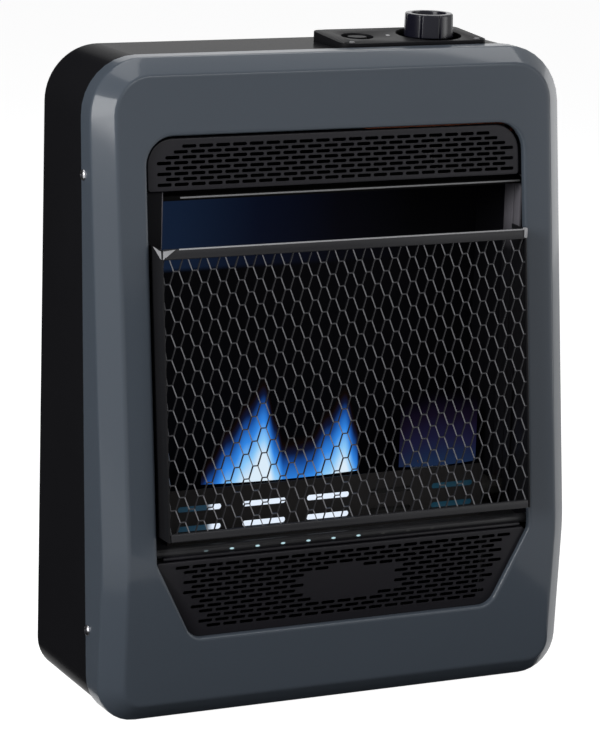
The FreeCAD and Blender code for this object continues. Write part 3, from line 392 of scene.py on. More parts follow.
class Pattern(Nodes):
    """A geometry tree with named sizes, for what repeats on the heater."""

    def __init__(self, name, sizes):
        super().__init__(bpy.data.node_groups.new(name, "GeometryNodeTree"))
        face = self.tree.interface
        face.new_socket("Geometry", in_out="OUTPUT", socket_type="NodeSocketGeometry")
        face.new_socket("Base", in_out="INPUT", socket_type="NodeSocketGeometry")
        self.sizes = sizes
        self.keys = {}
        for label, value in sizes.items():
            kind = "NodeSocketInt" if isinstance(value, int) else "NodeSocketFloat"
            self.keys[label] = face.new_socket(label, in_out="INPUT", socket_type=kind).identifier
        self.inputs = self.tree.nodes.new("NodeGroupInput")

    def size(self, label):
        return Value(self, self.inputs.outputs[label])

    def instances(self, points, instance, rotation=(0.0, 0.0, 0.0)):
        sockets = {"Points": points, "Instance": instance, "Rotation": rotation}
        return self.node("GeometryNodeInstanceOnPoints", {}, sockets)

    def realized(self, geometry):
        return self.node("GeometryNodeRealizeInstances", {}, {"Geometry": geometry})

    def without(self, body, cutter):
        settings = {"operation": "DIFFERENCE", "solver": "MANIFOLD"}
        return self.node("GeometryNodeMeshBoolean", settings, {0: body, 1: cutter})

    def vector(self, x, y, z):
        return self.node("ShaderNodeCombineXYZ", {}, {"X": x, "Y": y, "Z": z})

    def axis(self, vector, which):
        return self.node("ShaderNodeSeparateXYZ", {}, {"Vector": vector}, which)

    def position(self):
        return self.node("GeometryNodeInputPosition")

    def lattice(self):
        """A grid of points one unit apart: the grid, each point's place across, and its row."""
        columns, rows = self.size("Columns"), self.size("Rows")
        grid = self.node("GeometryNodeMeshGrid", {}, {
            "Size X": columns - 1, "Size Y": rows - 1, "Vertices X": columns, "Vertices Y": rows})
        spot = self.position()
        row = (self.axis(spot, "Y") + (rows - 1) * 0.5).call("ROUND")
        return grid, self.axis(spot, "X"), row

    def moved(self, geometry, position):
        return self.node("GeometryNodeSetPosition", {}, {"Geometry": geometry, "Position": position})

    def make(self, geometry, material, name, base):
        """End the tree, run it on a base mesh with the named sizes, and keep the plain mesh it gives."""
        final = self.node("GeometryNodeSetMaterial", {}, {
            "Geometry": self.realized(geometry), "Material": material})
        end = self.tree.nodes.new("NodeGroupOutput")
        self.tree.links.new(final.socket, end.inputs[0])
        thing = shown(name, base)
        repeat = thing.modifiers.new("repeat", "NODES")
        repeat.node_group = self.tree
        for label, value in self.sizes.items():
            repeat[self.keys[label]] = value
        return settled(thing)


def slotted(name, plate, sizes, material):
    """Cut staggered rows of round-ended slots through a plate, clear of its outline and a bare place."""
    cutter_sides, cutter_depth = 10, 6 * MM
    p = Pattern(name + "_slots", sizes)
    grid, across, row = p.lattice()
    stagger = row.call("MODULO", 2.0) * p.size("Stagger")
    x = p.size("Middle X") + (across + stagger) * p.size("Slot pitch")
    z = p.size("First row") + row * p.size("Row pitch")
    y = p.size("Front at floor") + z * p.size("Lean back")
    points = p.moved(grid, p.vector(x, y, z))
    spot = p.position()
    x, z = p.axis(spot, "X"), p.axis(spot, "Z")
    radius = p.size("Corner radius")
    into = (z + p.size("Slot height") * 0.5 - p.size("Outline top") + radius).call("MAXIMUM", 0.0)
    chord = (radius * radius - into * into).call("MAXIMUM", 0.0).call("SQRT")
    room = p.size("Half at floor") + z * p.size("Side slant") - radius + chord - p.size("Margin")
    outside = (abs(x - p.size("Middle X")) + p.size("Slot length") * 0.5) > room
    aside = abs(x - p.size("Bare middle X"))
    near_x = aside < (p.size("Bare width") + p.size("Slot length")) * 0.5
    arch = p.size("Bare height") * 0.5 - p.size("Bare arch") * aside
    near_z = abs(z - p.size("Bare middle Z")) < arch
    away = outside.call("MAXIMUM", near_x * near_z)
    points = p.node("GeometryNodeDeleteGeometry", {}, {"Geometry": points, "Selection": away})
    half = p.size("Slot height") * 0.5
    cutter = p.node("GeometryNodeMeshCylinder", {}, {
        "Vertices": cutter_sides, "Radius": half, "Depth": cutter_depth})
    spot = p.position()
    side = p.axis(spot, "X")
    stretch = side.call("SIGN") * (p.size("Slot length") * 0.5 - half)
    cutter = p.moved(cutter, p.vector(side + stretch, p.axis(spot, "Y"), p.axis(spot, "Z")))
    cutters = p.realized(p.instances(points, cutter, (math.pi / 2, 0, 0)))
    return p.make(p.without(p.size("Base"), cutters), material, name, plate)


def grille_depth(z):
    return rim_front(z) + bevel_depth - grille_recess


def tray_plate(name, corners, radii):
    """A shallow tray: a flat front, a soft edge and a flange turned back all round."""
    steps = [(grille_wall, grille_wall), (grille_wall, grille_flange), (0, grille_flange)]
    soft_edge = eased(Vector((0, grille_soft)), Vector((0, 0)), Vector((grille_soft, 0)))
    steps += [tuple(p) for p in soft_edge]
    rings = [in_space(rounded(grown(corners, -inset), [r - inset for r in radii]),
                      lambda z, back=back: grille_depth(z) - back) for inset, back in steps]
    return ring_mesh(name, rings, caps=True)


def plane_through(low, high, depth=grille_depth):
    """A leaning front as a height-to-depth rule: where it meets the floor, and how it leans."""
    lean = (depth(low) - depth(high)) / (high - low)
    return {"Front at floor": back_plane - depth(low) - lean * low, "Lean back": lean}


grille_enamel = coated("grille_enamel", (0.0105, 0.010, 0.0125), 0.34, 0.10, Specular_IOR_Level=0.14)
upper_half, upper_top = opening_half - grille_gap, opening_top - grille_gap
upper_bottom, upper_radius, square_radius = 441 * MM, 22 * MM, 3 * MM
upper_plate = tray_plate("upper_grille_sheet", corners_of(
    (-upper_half, upper_top), (upper_half, upper_top),
    (upper_half, upper_bottom), (-upper_half, upper_bottom)),
    [upper_radius, upper_radius, square_radius, square_radius])
upper_grille = slotted("upper_grille_sheet", upper_plate, {
    **slot_sizes, **plane_through(upper_bottom, upper_top), **no_bare_place, "Row pitch": 4.37 * MM,
    "Rows": 8, "Columns": 24, "First row": 446.4 * MM, "Corner radius": 24 * MM, "Outline top": upper_top,
    "Half at floor": upper_half, "Side slant": 0.0, "Margin": 5.8 * MM}, grille_enamel)
lower_top, lower_lap, lower_radius = 138.8 * MM, 0.8 * MM, 16 * MM
slant = (opening_half - opening_low_half) / (knee_height - opening_bottom)
lower_low_half = opening_low_half + lower_lap
lower_top_half = lower_low_half + slant * (lower_top - opening_bottom)
lower_bottom = opening_bottom - lower_lap
lower_plate = tray_plate("lower_grille_sheet", corners_of(
    (-lower_top_half, lower_top), (lower_top_half, lower_top),
    (lower_low_half, lower_bottom), (-lower_low_half, lower_bottom)),
    [square_radius, square_radius, lower_radius, lower_radius])
lower_grille = slotted("lower_grille_sheet", lower_plate, {
    **slot_sizes, **plane_through(opening_bottom, knee_height - knee_soft), "Row pitch": 4.4 * MM,
    "Rows": 13, "Columns": 25, "First row": 80.6 * MM, "Corner radius": 1 * MM, "Outline top": 1.0,
    "Half at floor": opening_low_half - slant * opening_bottom, "Side slant": slant, "Margin": 9.5 * MM,
    "Bare middle X": 3 * MM, "Bare middle Z": 106.5 * MM, "Bare width": 77.4 * MM,
    "Bare height": 33 * MM, "Bare arch": 0.143}, grille_enamel)
fixed(upper_grille, "grille_black", "upper_grille")
fixed(lower_grille, "grille_black", "lower_grille")


def ease_edges(thing, width, sharper_than=30):
    """Round a piece's sharp edges a little, so that they catch the light as folded sheet does."""
    ease = thing.modifiers.new("ease", "BEVEL")
    ease.width, ease.segments = width, 2
    ease.limit_method, ease.angle_limit = "ANGLE", math.radians(sharper_than)
    return settled(thing)


def strip(name, low, high, soft, material, slot):
    """A narrow folded edge of sheet, given by its lowest and highest x, depth and z in millimetres."""
    (left, rear, bottom), (right, front, top) = low, high
    outline = [(left, rear), (right, rear), (right, front), (left, front)]
    rings = [[(x * MM, back_plane - depth * MM, z * MM) for x, depth in outline] for z in (bottom, top)]
    thing = shown(name, ring_mesh(name, rings, caps=True), material)
    fixed(ease_edges(thing, soft * MM), slot)


strip("lower_grille_roll", (-166, 150, 140.0), (168, 158.5, 142.6), 1.0, grille_enamel, "grille_black")

# Guard: a hexagon net of expanded steel between a folded rail at the top and one at the bottom, with
# a solid band down each side, bent back to the panel. Black enamel; a painted grey sheen on the net's
# strands and painted highlights on its edges.
guard_left, guard_right, guard_bottom, guard_top = -169.5 * MM, 166.5 * MM, 161 * MM, 398.5 * MM
rail_height, foot_height, band_wall = 8.5 * MM, 7 * MM, 1.4 * MM
guard_reach = back_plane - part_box("guard_bottom_rail")[0].y
net_setback = 1.7 * MM


def guard_depth(z):
    return guard_reach + rim_front(z) - rim_front(guard_bottom)


def hexagon_net(name, sizes, material):
    """Hexagon cells in columns that break joint, drawn as square strands and kept inside a frame."""
    level_slope, outer_corner, weld = 0.05, 0.75, 0.1 * MM
    p = Pattern(name, sizes)
    points, column, row = p.lattice()
    width, edge, height = p.size("Cell width"), p.size("Cell edge"), p.size("Cell height")
    column = (column + (p.size("Columns") - 1) * 0.5).call("ROUND")
    x = p.size("Start X") + column * (width + edge) * 0.5
    z = p.size("Start Z") - (row + column.call("MODULO", 2.0) * 0.5) * height
    points = p.moved(points, p.vector(x, 0.0, z))
    ring = p.node("GeometryNodeMeshCircle", {"fill_type": "NONE"}, {"Vertices": 6, "Radius": 1.0})
    spot = p.position()
    across, up = p.axis(spot, "X"), p.axis(spot, "Y")
    half = (edge + (abs(across) > outer_corner) * (width - edge)) * 0.5
    ring = p.moved(ring, p.vector(across.call("SIGN") * half, 0.0, up.call("ROUND") * height * 0.5))
    cells = p.realized(p.instances(points, ring))
    spot = p.position()
    x = p.axis(spot, "X").call("MINIMUM", p.size("Frame right")).call("MAXIMUM", p.size("Frame left"))
    z = p.axis(spot, "Z").call("MINIMUM", p.size("Frame top")).call("MAXIMUM", p.size("Frame bottom"))
    cells = p.moved(cells, p.vector(x, p.size("Front at floor") + z * p.size("Lean back"), z))
    cells = p.node("GeometryNodeMergeByDistance", {}, {"Geometry": cells, "Distance": weld})
    lines = p.node("GeometryNodeMeshToCurve", {}, {"Mesh": cells})
    lines = p.node("GeometryNodeSetCurveNormal", {"mode": "Z_UP"}, {"Curve": lines})
    # Strands of one slant carry a painted sheen, level ones less of it, the other slant none.
    run = p.node("GeometryNodeInputTangent")
    slope = p.axis(run, "X") * p.axis(run, "Z")
    flat_sheen = p.size("Flat sheen")
    rubbed = flat_sheen * (1.0 - (slope > level_slope)) + (slope < -level_slope) * (1.0 - flat_sheen)
    lines = p.node("GeometryNodeStoreNamedAttribute", {"data_type": "FLOAT", "domain": "POINT"}, {
        "Geometry": lines, "Name": "rubbed", "Value": rubbed})
    section = p.node("GeometryNodeCurvePrimitiveQuadrilateral", {}, {
        "Width": p.size("Strand"), "Height": p.size("Strand")})
    strands = p.node("GeometryNodeCurveToMesh", {}, {
        "Curve": lines, "Profile Curve": section, "Fill Caps": True})
    return p.make(strands, material, name, bpy.data.meshes.new(name))


guard_enamel = coated("guard_enamel", (0.016, 0.016, 0.018), 0.30, 0.08, Specular_IOR_Level=0.15)
# The net's strands: black enamel with a painted grey sheen on the strands of one slant, broken up by
# noise.
net_enamel = Finish("net_enamel", Roughness=0.3, Specular_IOR_Level=0.15)
sheen_share = net_enamel.node("ShaderNodeAttribute", {"attribute_name": "rubbed"}, {}, "Fac")
sheen_scale, least_sheen, sheen_spread = 220.0, 0.7, 0.6
sheen_share = sheen_share * (least_sheen + sheen_spread * net_enamel.noise(sheen_scale))
net_black, net_sheen = (0.012, 0.012, 0.014, 1.0), (0.13, 0.13, 0.138, 1.0)
net_enamel.feed("Base Color", net_enamel.mix(sheen_share, net_black, net_sheen))
net_enamel.grain_bump(net_enamel.grain_noise(), 0.04)
net = hexagon_net("guard_net", {
    "Cell width": 12.0 * MM, "Cell edge": 4.5 * MM, "Cell height": 20.36 * MM, "Strand": 0.9 * MM,
    "Flat sheen": 0.3, "Columns": 43, "Rows": 14, "Start X": -173.0 * MM, "Start Z": 411.09 * MM,
    "Frame left": guard_left + band_wall / 2, "Frame right": guard_right - band_wall / 2,
    "Frame top": guard_top - rail_height / 2, "Frame bottom": guard_bottom + foot_height / 2,
    **plane_through(guard_bottom, guard_top, lambda z: guard_depth(z) - net_setback)}, net_enamel.material)
fixed(net, "guard_black", "guard_mesh")


def softened(node, width, material, slot, fitted=None):
    """A CAD piece fitted where that is asked for, with its sharp edges eased."""
    same_point, same_plane = 0.01 * MM, 0.02
    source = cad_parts[node]
    mesh = source.data.copy()
    mesh.transform(source.matrix_world)
    for point in mesh.vertices if fitted else ():
        point.co = fitted(point.co)
    work = bmesh.new()
    work.from_mesh(mesh)
    bmesh.ops.remove_doubles(work, verts=work.verts, dist=same_point)
    bmesh.ops.dissolve_limit(work, angle_limit=same_plane, verts=work.verts, edges=work.edges)
    bmesh.ops.recalc_face_normals(work, faces=work.faces)
    work.to_mesh(mesh)
    work.free()
    thing = shown(node + "_eased", mesh, material)
    fixed(ease_edges(thing, width, sharper_than=40), slot, node)


rail_soft, rail_shift = 1.0 * MM, Vector((1.5 * MM, 0, 0))
for rail in ("guard_top_rail", "guard_bottom_rail"):
    softened(rail, rail_soft, guard_enamel, "guard_black", lambda p: p - rail_shift)
band_flare, band_deep, fold_soft = 1.5 * MM, 27 * MM, 0.5 * MM
# The bands' folds take a darker copy of the guard's enamel: painted shade.
fold_enamel = coated("fold_enamel", (0.008, 0.008, 0.009), 0.36, 0.08, Specular_IOR_Level=0.08)
for side, edge, band in ((-1, guard_left, "guard_left_band"), (1, guard_right, "guard_right_band")):
    rings = []
    for z in (guard_bottom, guard_top):
        front = back_plane - guard_depth(z)
        rear = front + band_deep
        section = [(0, front), (band_flare, rear), (band_flare - band_wall, rear), (-band_wall, front)]
        rings.append([(edge + side * x, y, z) for x, y in section])
    fold = shown(band + "_fold", ring_mesh(band + "_fold", rings, caps=True), fold_enamel)
    fixed(ease_edges(fold, fold_soft), "guard_black", band)
# A pale grey on the folded corner, the rail's top edge and the right tab: painted highlights.
guard_highlight_paint = coated("rubbed_steel", (0.30, 0.30, 0.31), 0.3, 0.08, 0.15, Specular_IOR_Level=0.25)
corner_depth = back_plane - guard_depth(guard_top)
corner_wall = 0.5 * MM
corner_points = [(-169.2, -0.6, 389.6), (-157.5, -0.5, 398.4), (-164.8, -0.5, 397.6),
                 (-170.2, 1.5, 397.4), (-170.8, 14, 398.9)]
corner_points = [(x * MM, corner_depth + y * MM, z * MM) for x, y, z in corner_points]
corner_mesh = plain_mesh("guard_corner_fold", corner_points, [(0, 1, 2), (0, 2, 3), (0, 3, 4)])
corner = shown("guard_corner_fold", corner_mesh, guard_highlight_paint)
wall = corner.modifiers.new("wall", "SOLIDIFY")
wall.thickness, wall.offset = corner_wall, 0.0
fixed(settled(corner), "guard_black")
strip("guard_rail_edge", (-154, 147.6, 397.6), (165, 149.4, 398.7), 0.35, guard_highlight_paint, "guard_black")
strip("guard_right_tab", (164.2, 146, 391), (166.8, 150.4, 399.4), 0.5, guard_highlight_paint, "guard_black")

# Firebox: a box of thin sheet steel with a sloped deflector under its top and a rolled lip along the front
# of its floor. Black high-heat paint; a faint blue from the flames is painted on its back wall as a glow.
liner_paint = coated("liner_paint", (0.004, 0.004, 0.005), 0.45, 0.10, Specular_IOR_Level=0.04)
back_glow = Finish("back_wall_paint", Base_Color=(0.003, 0.003, 0.004, 1.0), Roughness=0.6,
                   Specular_IOR_Level=0.02, Emission_Strength=1.0)
# Painted reflection of the flames on the back wall: blue fading to the right, only in a band whose lower
# edge is a painted shadow edge.
blue_left, blue_span = -180 * MM, 300 * MM
shadow_edge, lit_from, lit_to = 354 * MM, 358 * MM, 445 * MM
height = back_glow.along("Z")
blue = back_glow.ramp((back_glow.along("X") - blue_left) / blue_span, [
    (0.0, (0.006, 0.014, 0.037)), (0.25, (0.0045, 0.011, 0.029)), (0.5, (0.0015, 0.003, 0.010)),
    (0.75, (0.0006, 0.0007, 0.002)), (1.0, (0.0, 0.0, 0.0))])
lit = back_glow.node("ShaderNodeMapRange", {}, {
    "Value": height, "From Min": shadow_edge, "From Max": lit_from})
lit = lit * (height < lit_to)
back_glow.feed("Emission Color", back_glow.mix(lit, (0.0, 0.0, 0.0, 1.0), blue))
dress(back_glow.material, "firebox_back")
dress(liner_paint, "firebox_left_side", "firebox_right_side")
soot = coated("soot_paint", (0.002, 0.002, 0.002), 0.6, 0.10, Specular_IOR_Level=0.02)
sheet_soft = 0.3 * MM
softened("heat_deflector", sheet_soft, soot, "firebox_steel")
# The floor and its lip take a lighter copy of the firebox's black paint: painted light on the lip.
lip_paint = coated("lip_paint", (0.022, 0.022, 0.024), 0.30, 0.08, Specular_IOR_Level=0.15)
softened("firebox_floor", sheet_soft, lip_paint, "firebox_steel")
# A pale strip along the deflector's front edge is a painted highlight.
edge_steel = coated("edge_steel", (0.16, 0.16, 0.165), 0.28, 0.06, Specular_IOR_Level=0.25)
jamb_dark = coated("jamb_dark", (0.004, 0.004, 0.005), 0.45, 0.10, Specular_IOR_Level=0.03)
# The left jamb's edge line and the right jambs are pale above and dark below: a painted highlight where
# they catch the light, and painted shade lower down.
jamb_paint = Finish("jamb_paint", Roughness=0.42, Specular_IOR_Level=0.1)
jamb_shade_top, jamb_lit_from = 370 * MM, 400 * MM
jamb_shaded, jamb_lit = (0.006, 0.006, 0.007, 1.0), (0.10, 0.096, 0.108, 1.0)
jamb_lit_share = jamb_paint.node("ShaderNodeMapRange", {}, {
    "Value": jamb_paint.along("Z"), "From Min": jamb_shade_top, "From Max": jamb_lit_from})
jamb_paint.feed("Base Color", jamb_paint.mix(jamb_lit_share, jamb_shaded, jamb_lit))
jamb_paint.grain_bump(jamb_paint.grain_noise(), 0.10)
jamb_pale = jamb_paint.material
for name, low, high, soft, material in (
        ("deflector_edge", (-140.5, 115.5, 433.6), (176, 117.6, 435.2), 0.7, edge_steel),
        ("left_jamb", (-181, 116.6, 141), (-156.2, 117.8, 440), 0.5, jamb_dark),
        ("left_jamb_edge", (-157.0, 116.4, 141), (-156.0, 118.2, 440), 0.3, jamb_pale),
        ("right_jamb", (179.8, 84, 141), (181.4, 100, 438), 0.6, jamb_pale),
        ("right_jamb_front", (179.0, 102.5, 141), (181.4, 113, 438), 0.6, jamb_pale)):
    strip(name, low, high, soft, material, "firebox_steel")

# Painted glints: the lip's ports are small glowing ovals, bright along part of the row, dim at the left
# end and dark to the right.
port_glow = Finish("port_glow", Base_Color=(0.002, 0.002, 0.002, 1.0), Roughness=0.5,
                   Emission_Strength=1.0)
port_dim, port_bright, port_dark = (0.06, 0.09, 0.10), (0.42, 0.62, 0.68), (0.0, 0.0, 0.0)
ports_left, ports_span = -132 * MM, 234 * MM
port_glow.feed("Emission Color", port_glow.ramp((port_glow.along("X") - ports_left) / ports_span, [
    (0.0, port_dim), (0.08, port_dim), (0.10, port_bright), (0.62, port_bright), (0.66, port_dark),
    (1.0, port_dark)]))
ports = Pattern("lip_ports", {
    "Columns": 10, "Rows": 1, "Port pitch": 23.4 * MM, "Middle X": -21.7 * MM, "Port radius": 0.85 * MM,
    "Port stretch": 2.4, "Front": back_plane - 155.7 * MM, "Height": 144.9 * MM})
grid, across, row = ports.lattice()
spots = ports.moved(grid, ports.vector(across * ports.size("Port pitch") + ports.size("Middle X"),
                                       ports.size("Front"), ports.size("Height")))
port_sides, port_deep = 12, 0.9 * MM
port = ports.node("GeometryNodeMeshCylinder", {}, {
    "Vertices": port_sides, "Radius": ports.size("Port radius"), "Depth": port_deep})
spot = ports.position()
port = ports.moved(port, ports.vector(ports.axis(spot, "X") * ports.size("Port stretch"),
                                      ports.axis(spot, "Y"), ports.axis(spot, "Z")))
spots = ports.instances(spots, port, (math.pi / 2, 0, 0))
lip_ports = ports.make(spots, port_glow.material, "lip_ports", bpy.data.meshes.new("lip_ports"))
fixed(lip_ports, "firebox_steel")

# Burner, its shield and the flames: a ported steel tube lies behind an upright shield with two rows
# of round-ended slots. The flames stand behind the shield's top edge; a glowing sheet behind the shield
# paints their light in its slots.
burner_steel = coated("burner_steel", (0.030, 0.028, 0.026), 0.45, 0.12, 0.2, Metallic=0.6)
dress(burner_steel, "burner_tube", "burner_saddles", "mixer_tube")
shield_low, shield_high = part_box("burner_shield")
shield_mesh = ring_mesh("burner_shield_sheet", [
    [(shield_low.x, y, shield_low.z), (shield_low.x, y, shield_high.z),
     (shield_high.x, y, shield_high.z), (shield_high.x, y, shield_low.z)]
    for y in (shield_low.y, shield_high.y)], caps=True)
shield = slotted("burner_shield_sheet", shield_mesh, {
    "Slot length": 40 * MM, "Slot height": 5.2 * MM, "Slot pitch": 59.5 * MM, "Row pitch": 17 * MM,
    "Rows": 2, "Columns": 5, "Stagger": 0.0, "First row": 155 * MM, "Corner radius": 1 * MM,
    "Outline top": 1.0, "Front at floor": shield_low.y, "Lean back": 0.0, "Half at floor": 1.0,
    "Side slant": 0.0, "Margin": 0.0, "Middle X": 0.0, **no_bare_place},
    coated("shield_paint", (0.016, 0.015, 0.015), 0.5, 0.12, Specular_IOR_Level=0.05))
fixed(shield, "firebox_steel", "burner_shield")


def flame_sheet(name, outline, base, depth, full, material, halo=0.0):
    """A sheet of flame. Its top follows an outline, and its UV holds how far below that a point lies."""
    step, rows, bow_deep = 2 * MM, 14, 6 * MM
    columns = int((outline[-1][0] - outline[0][0]) * MM / step)
    points, below, faces = [], [], []
    for i in range(columns + 1):
        x = outline[0][0] * MM + i * step
        k = max(j for j in range(len(outline) - 1) if outline[j][0] * MM <= x + 1e-9)
        (x0, z0), (x1, z1) = outline[k], outline[k + 1]
        share = min(max((x / MM - x0) / (x1 - x0), 0.0), 1.0)
        share = share * share * (3 - 2 * share)
        top = (z0 + (z1 - z0) * share) * MM + halo
        for j in range(rows + 1):
            z = base + (top - base) * j / rows
            bow = math.sin(math.pi * i / columns) * bow_deep * (1 - j / rows)
            points.append((x, back_plane - depth - bow, z))
            below.append((i / columns, (top - z) / full))
    for i in range(columns):
        for j in range(rows):
            a = i * (rows + 1) + j
            faces.append((a, a + rows + 1, a + rows + 2, a + 1))
    mesh = plain_mesh(name, points, faces)
    layer = mesh.uv_layers.new(name="below_top")
    for loop in mesh.loops:
        layer.data[loop.index].uv = below[loop.vertex_index]
    mesh.shade_smooth()
    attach(shown(name, mesh, material), CABINET)


def flame_finish(name, colours, solid_at, body):
    """Glowing gas: colour and body both grow with the distance below the flame's top."""
    finish = Finish(name, Base_Color=(0.0, 0.0, 0.0, 1.0), Roughness=1.0, Specular_IOR_Level=0.0,
                    Emission_Strength=1.0)
    flicker_scale, flicker = 60.0, 0.14
    place = finish.node("ShaderNodeUVMap", {"uv_map": "below_top"})
    deep = finish.node("ShaderNodeSeparateXYZ", {}, {"Vector": place}, "Y")
    deep = deep + (finish.noise(flicker_scale) - 0.5) * flicker * deep
    finish.feed("Emission Color", finish.ramp(deep, colours))
    finish.feed("Alpha", finish.node("ShaderNodeMapRange", {}, {
        "Value": deep, "From Max": solid_at, "To Max": body}))
    return finish.material


flame_base = 184 * MM
gas_blue = flame_finish("gas_flame", [
    (0.0, (0.0, 0.0, 0.0)), (0.12, (0.010, 0.004, 0.002)), (0.22, (0.006, 0.012, 0.05)),
    (0.34, (0.010, 0.075, 0.33)), (0.52, (0.035, 0.25, 0.80)), (0.72, (0.26, 0.60, 0.98)),
    (0.92, (0.74, 0.88, 1.0))], 0.3, 0.95)
flame_sheet("main_flame", [
    (-106, 186), (-98, 197), (-82, 221), (-64, 243), (-50, 260), (-38, 226), (-31, 206), (-16, 206),
    (-5, 209), (11, 228), (27, 247), (39, 216), (43, 187)],
    base=flame_base, depth=95 * MM, full=78 * MM, material=gas_blue, halo=16 * MM)
veil_blue = flame_finish("dim_flame", [
    (0.0, (0.0, 0.0, 0.0)), (0.4, (0.006, 0.004, 0.012)), (0.7, (0.010, 0.010, 0.035)),
    (1.0, (0.010, 0.022, 0.06))], 0.3, 0.9)
flame_sheet("side_flame", [(94, 236), (108, 243), (128, 247), (152, 244), (170, 240)],
            base=flame_base - 8 * MM, depth=70 * MM, full=66 * MM, material=veil_blue)

# Painted light: an emissive sheet behind the shield lights its slots, bright over part of the row, dim or
# dark elsewhere.
slot_glow = Finish("slot_glow", Base_Color=(0.0, 0.0, 0.0, 1.0), Roughness=1.0, Emission_Strength=1.0)
glow_half, glow_low, glow_high = 148 * MM, 149 * MM, 178 * MM
slot_glow.feed("Emission Color", slot_glow.ramp((slot_glow.along("X") + glow_half) / (2 * glow_half), [
    (0.0, (0.003, 0.020, 0.035)), (0.125, (0.010, 0.035, 0.06)), (0.145, (0.78, 0.87, 1.0)),
    (0.58, (0.80, 0.88, 1.0)), (0.61, (0.0, 0.0, 0.0)), (0.78, (0.0, 0.0, 0.0)),
    (0.83, (0.004, 0.030, 0.05)), (1.0, (0.003, 0.020, 0.035))]))
glow_depth = back_plane - 119 * MM
glow_mesh = plain_mesh("slot_glow_sheet", [
    (shield_low.x, glow_depth, glow_low), (shield_high.x, glow_depth, glow_low),
    (shield_high.x, glow_depth, glow_high), (shield_low.x, glow_depth, glow_high)], [(0, 1, 2, 3)])
glow = shown("slot_glow_sheet", glow_mesh, slot_glow.material)
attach(glow, CABINET)

# Controls on top: a moulded plate with two wells, a fluted push-and-turn knob on the valve's stem and
# a round igniter button. Black plastic, the knob glossier than the plate, with a pale index mark
# printed beside it. Two screws hold the plate, and the knob pushes on to the stem.
plate_plastic = coated("plate_plastic", (0.007, 0.007, 0.008), 0.46, 0.14, Specular_IOR_Level=0.035)
knob_plastic = coated("knob_plastic", (0.006, 0.006, 0.011), 0.24, 0.04, Specular_IOR_Level=0.22)
plate_low, plate_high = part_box("control_plate")
plate_wide, plate_deep = plate_high.x - plate_low.x, plate_high.y - plate_low.y
front_rise, more_at_back, plate_end = 0.3, 4.0, 0.04
longer_left, longer_right, top_skin = 5.5, 5.0, 0.2 * MM


def plate_rise(y):
    """The plate's top slopes up a little towards the back."""
    return (front_rise + more_at_back * (y - plate_low.y) / plate_deep) * MM


def plate_fit(p):
    """The plate as the mould gives it: longer at its left and right ends, and thicker to the back."""
    share = (p.x - plate_low.x) / plate_wide
    at_end = share < plate_end or share > 1 - plate_end
    reach = (-longer_left + (longer_left + longer_right) * share) * MM if at_end else 0.0
    rise = plate_rise(p.y) if p.z > plate_high.z - top_skin else 0.0
    return Vector((p.x + reach, p.y, p.z + rise))


plate_soft = 0.9 * MM
softened("control_plate", plate_soft, plate_plastic, "plate_plastic", plate_fit)
dress(plate_plastic, "igniter_button", "igniter_nut", "igniter_body")
mark_across, mark_depth, mark_half, mark_soft = 79, 48, 1.4, 0.05
mark_sunk, mark_proud = 0.3, 0.2
mark_top = (plate_high.z + plate_rise(back_plane - mark_depth * MM)) / MM
mark_ink = coated("mark_ink", (0.55, 0.55, 0.56), 0.5, 0.04)
strip("knob_index_mark", (mark_across - mark_half, mark_depth - mark_half, mark_top - mark_sunk),
      (mark_across + mark_half, mark_depth + mark_half, mark_top + mark_proud), mark_soft, mark_ink,
      "plate_plastic")
knob_low, knob_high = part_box("control_knob")
knob_middle = (knob_low + knob_high) / 2
knob_radius, knob_lobes, groove_deep = knob_high.x - knob_middle.x + 0.9 * MM, 8, 1.2 * MM
lobe_turn, lobe_flat = math.tau / knob_lobes, 0.45


def knob_ring(radius, z, groove):
    """One level of the knob: eight flattened lobes with a groove between them, or a plain circle."""
    knob_steps, groove_sharp = 32, 9
    ring = []
    for k in range(knob_lobes * knob_steps):
        turn = math.tau * k / (knob_lobes * knob_steps)
        aside = turn % lobe_turn - lobe_turn / 2
        chord = math.cos(lobe_turn / 2) / math.cos(aside)
        dip = (1 - abs(math.sin(turn * knob_lobes / 2))) ** groove_sharp
        reach = radius * (1 - lobe_flat * (1 - chord) if groove else 1) - groove * dip
        ring.append((knob_middle.x + reach * math.cos(turn), knob_middle.y + reach * math.sin(turn), z))
    return ring


knob_soft, knob_edge, stem_hole = 1.6 * MM, 0.6 * MM, 5 * MM
knob_top_radius = knob_radius - knob_edge
dish_lip, dish_top, dish_foot, dish_middle = 15.6 * MM, 15 * MM, 14.6 * MM, 3 * MM
dish_floor = knob_high.z - 4 * MM
knob_rings = [knob_ring(stem_hole, knob_low.z, 0), knob_ring(knob_top_radius, knob_low.z, groove_deep),
              knob_ring(knob_radius, knob_low.z + knob_edge, groove_deep)]
soft_edge = eased(Vector((0, knob_soft)), Vector((0, 0)), Vector((knob_soft, 0)))
knob_rings += [knob_ring(knob_top_radius - p.x, knob_high.z - p.y, groove_deep) for p in soft_edge]
knob_rings += [knob_ring(dish_lip, knob_high.z, 0), knob_ring(dish_top, knob_high.z - knob_edge, 0),
               knob_ring(dish_foot, dish_floor, 0), knob_ring(dish_middle, dish_floor, 0)]
knob = shown("fluted_knob", ring_mesh("fluted_knob", knob_rings, caps=True), knob_plastic)
settled(knob)
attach(knob, "knob")
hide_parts("control_knob")

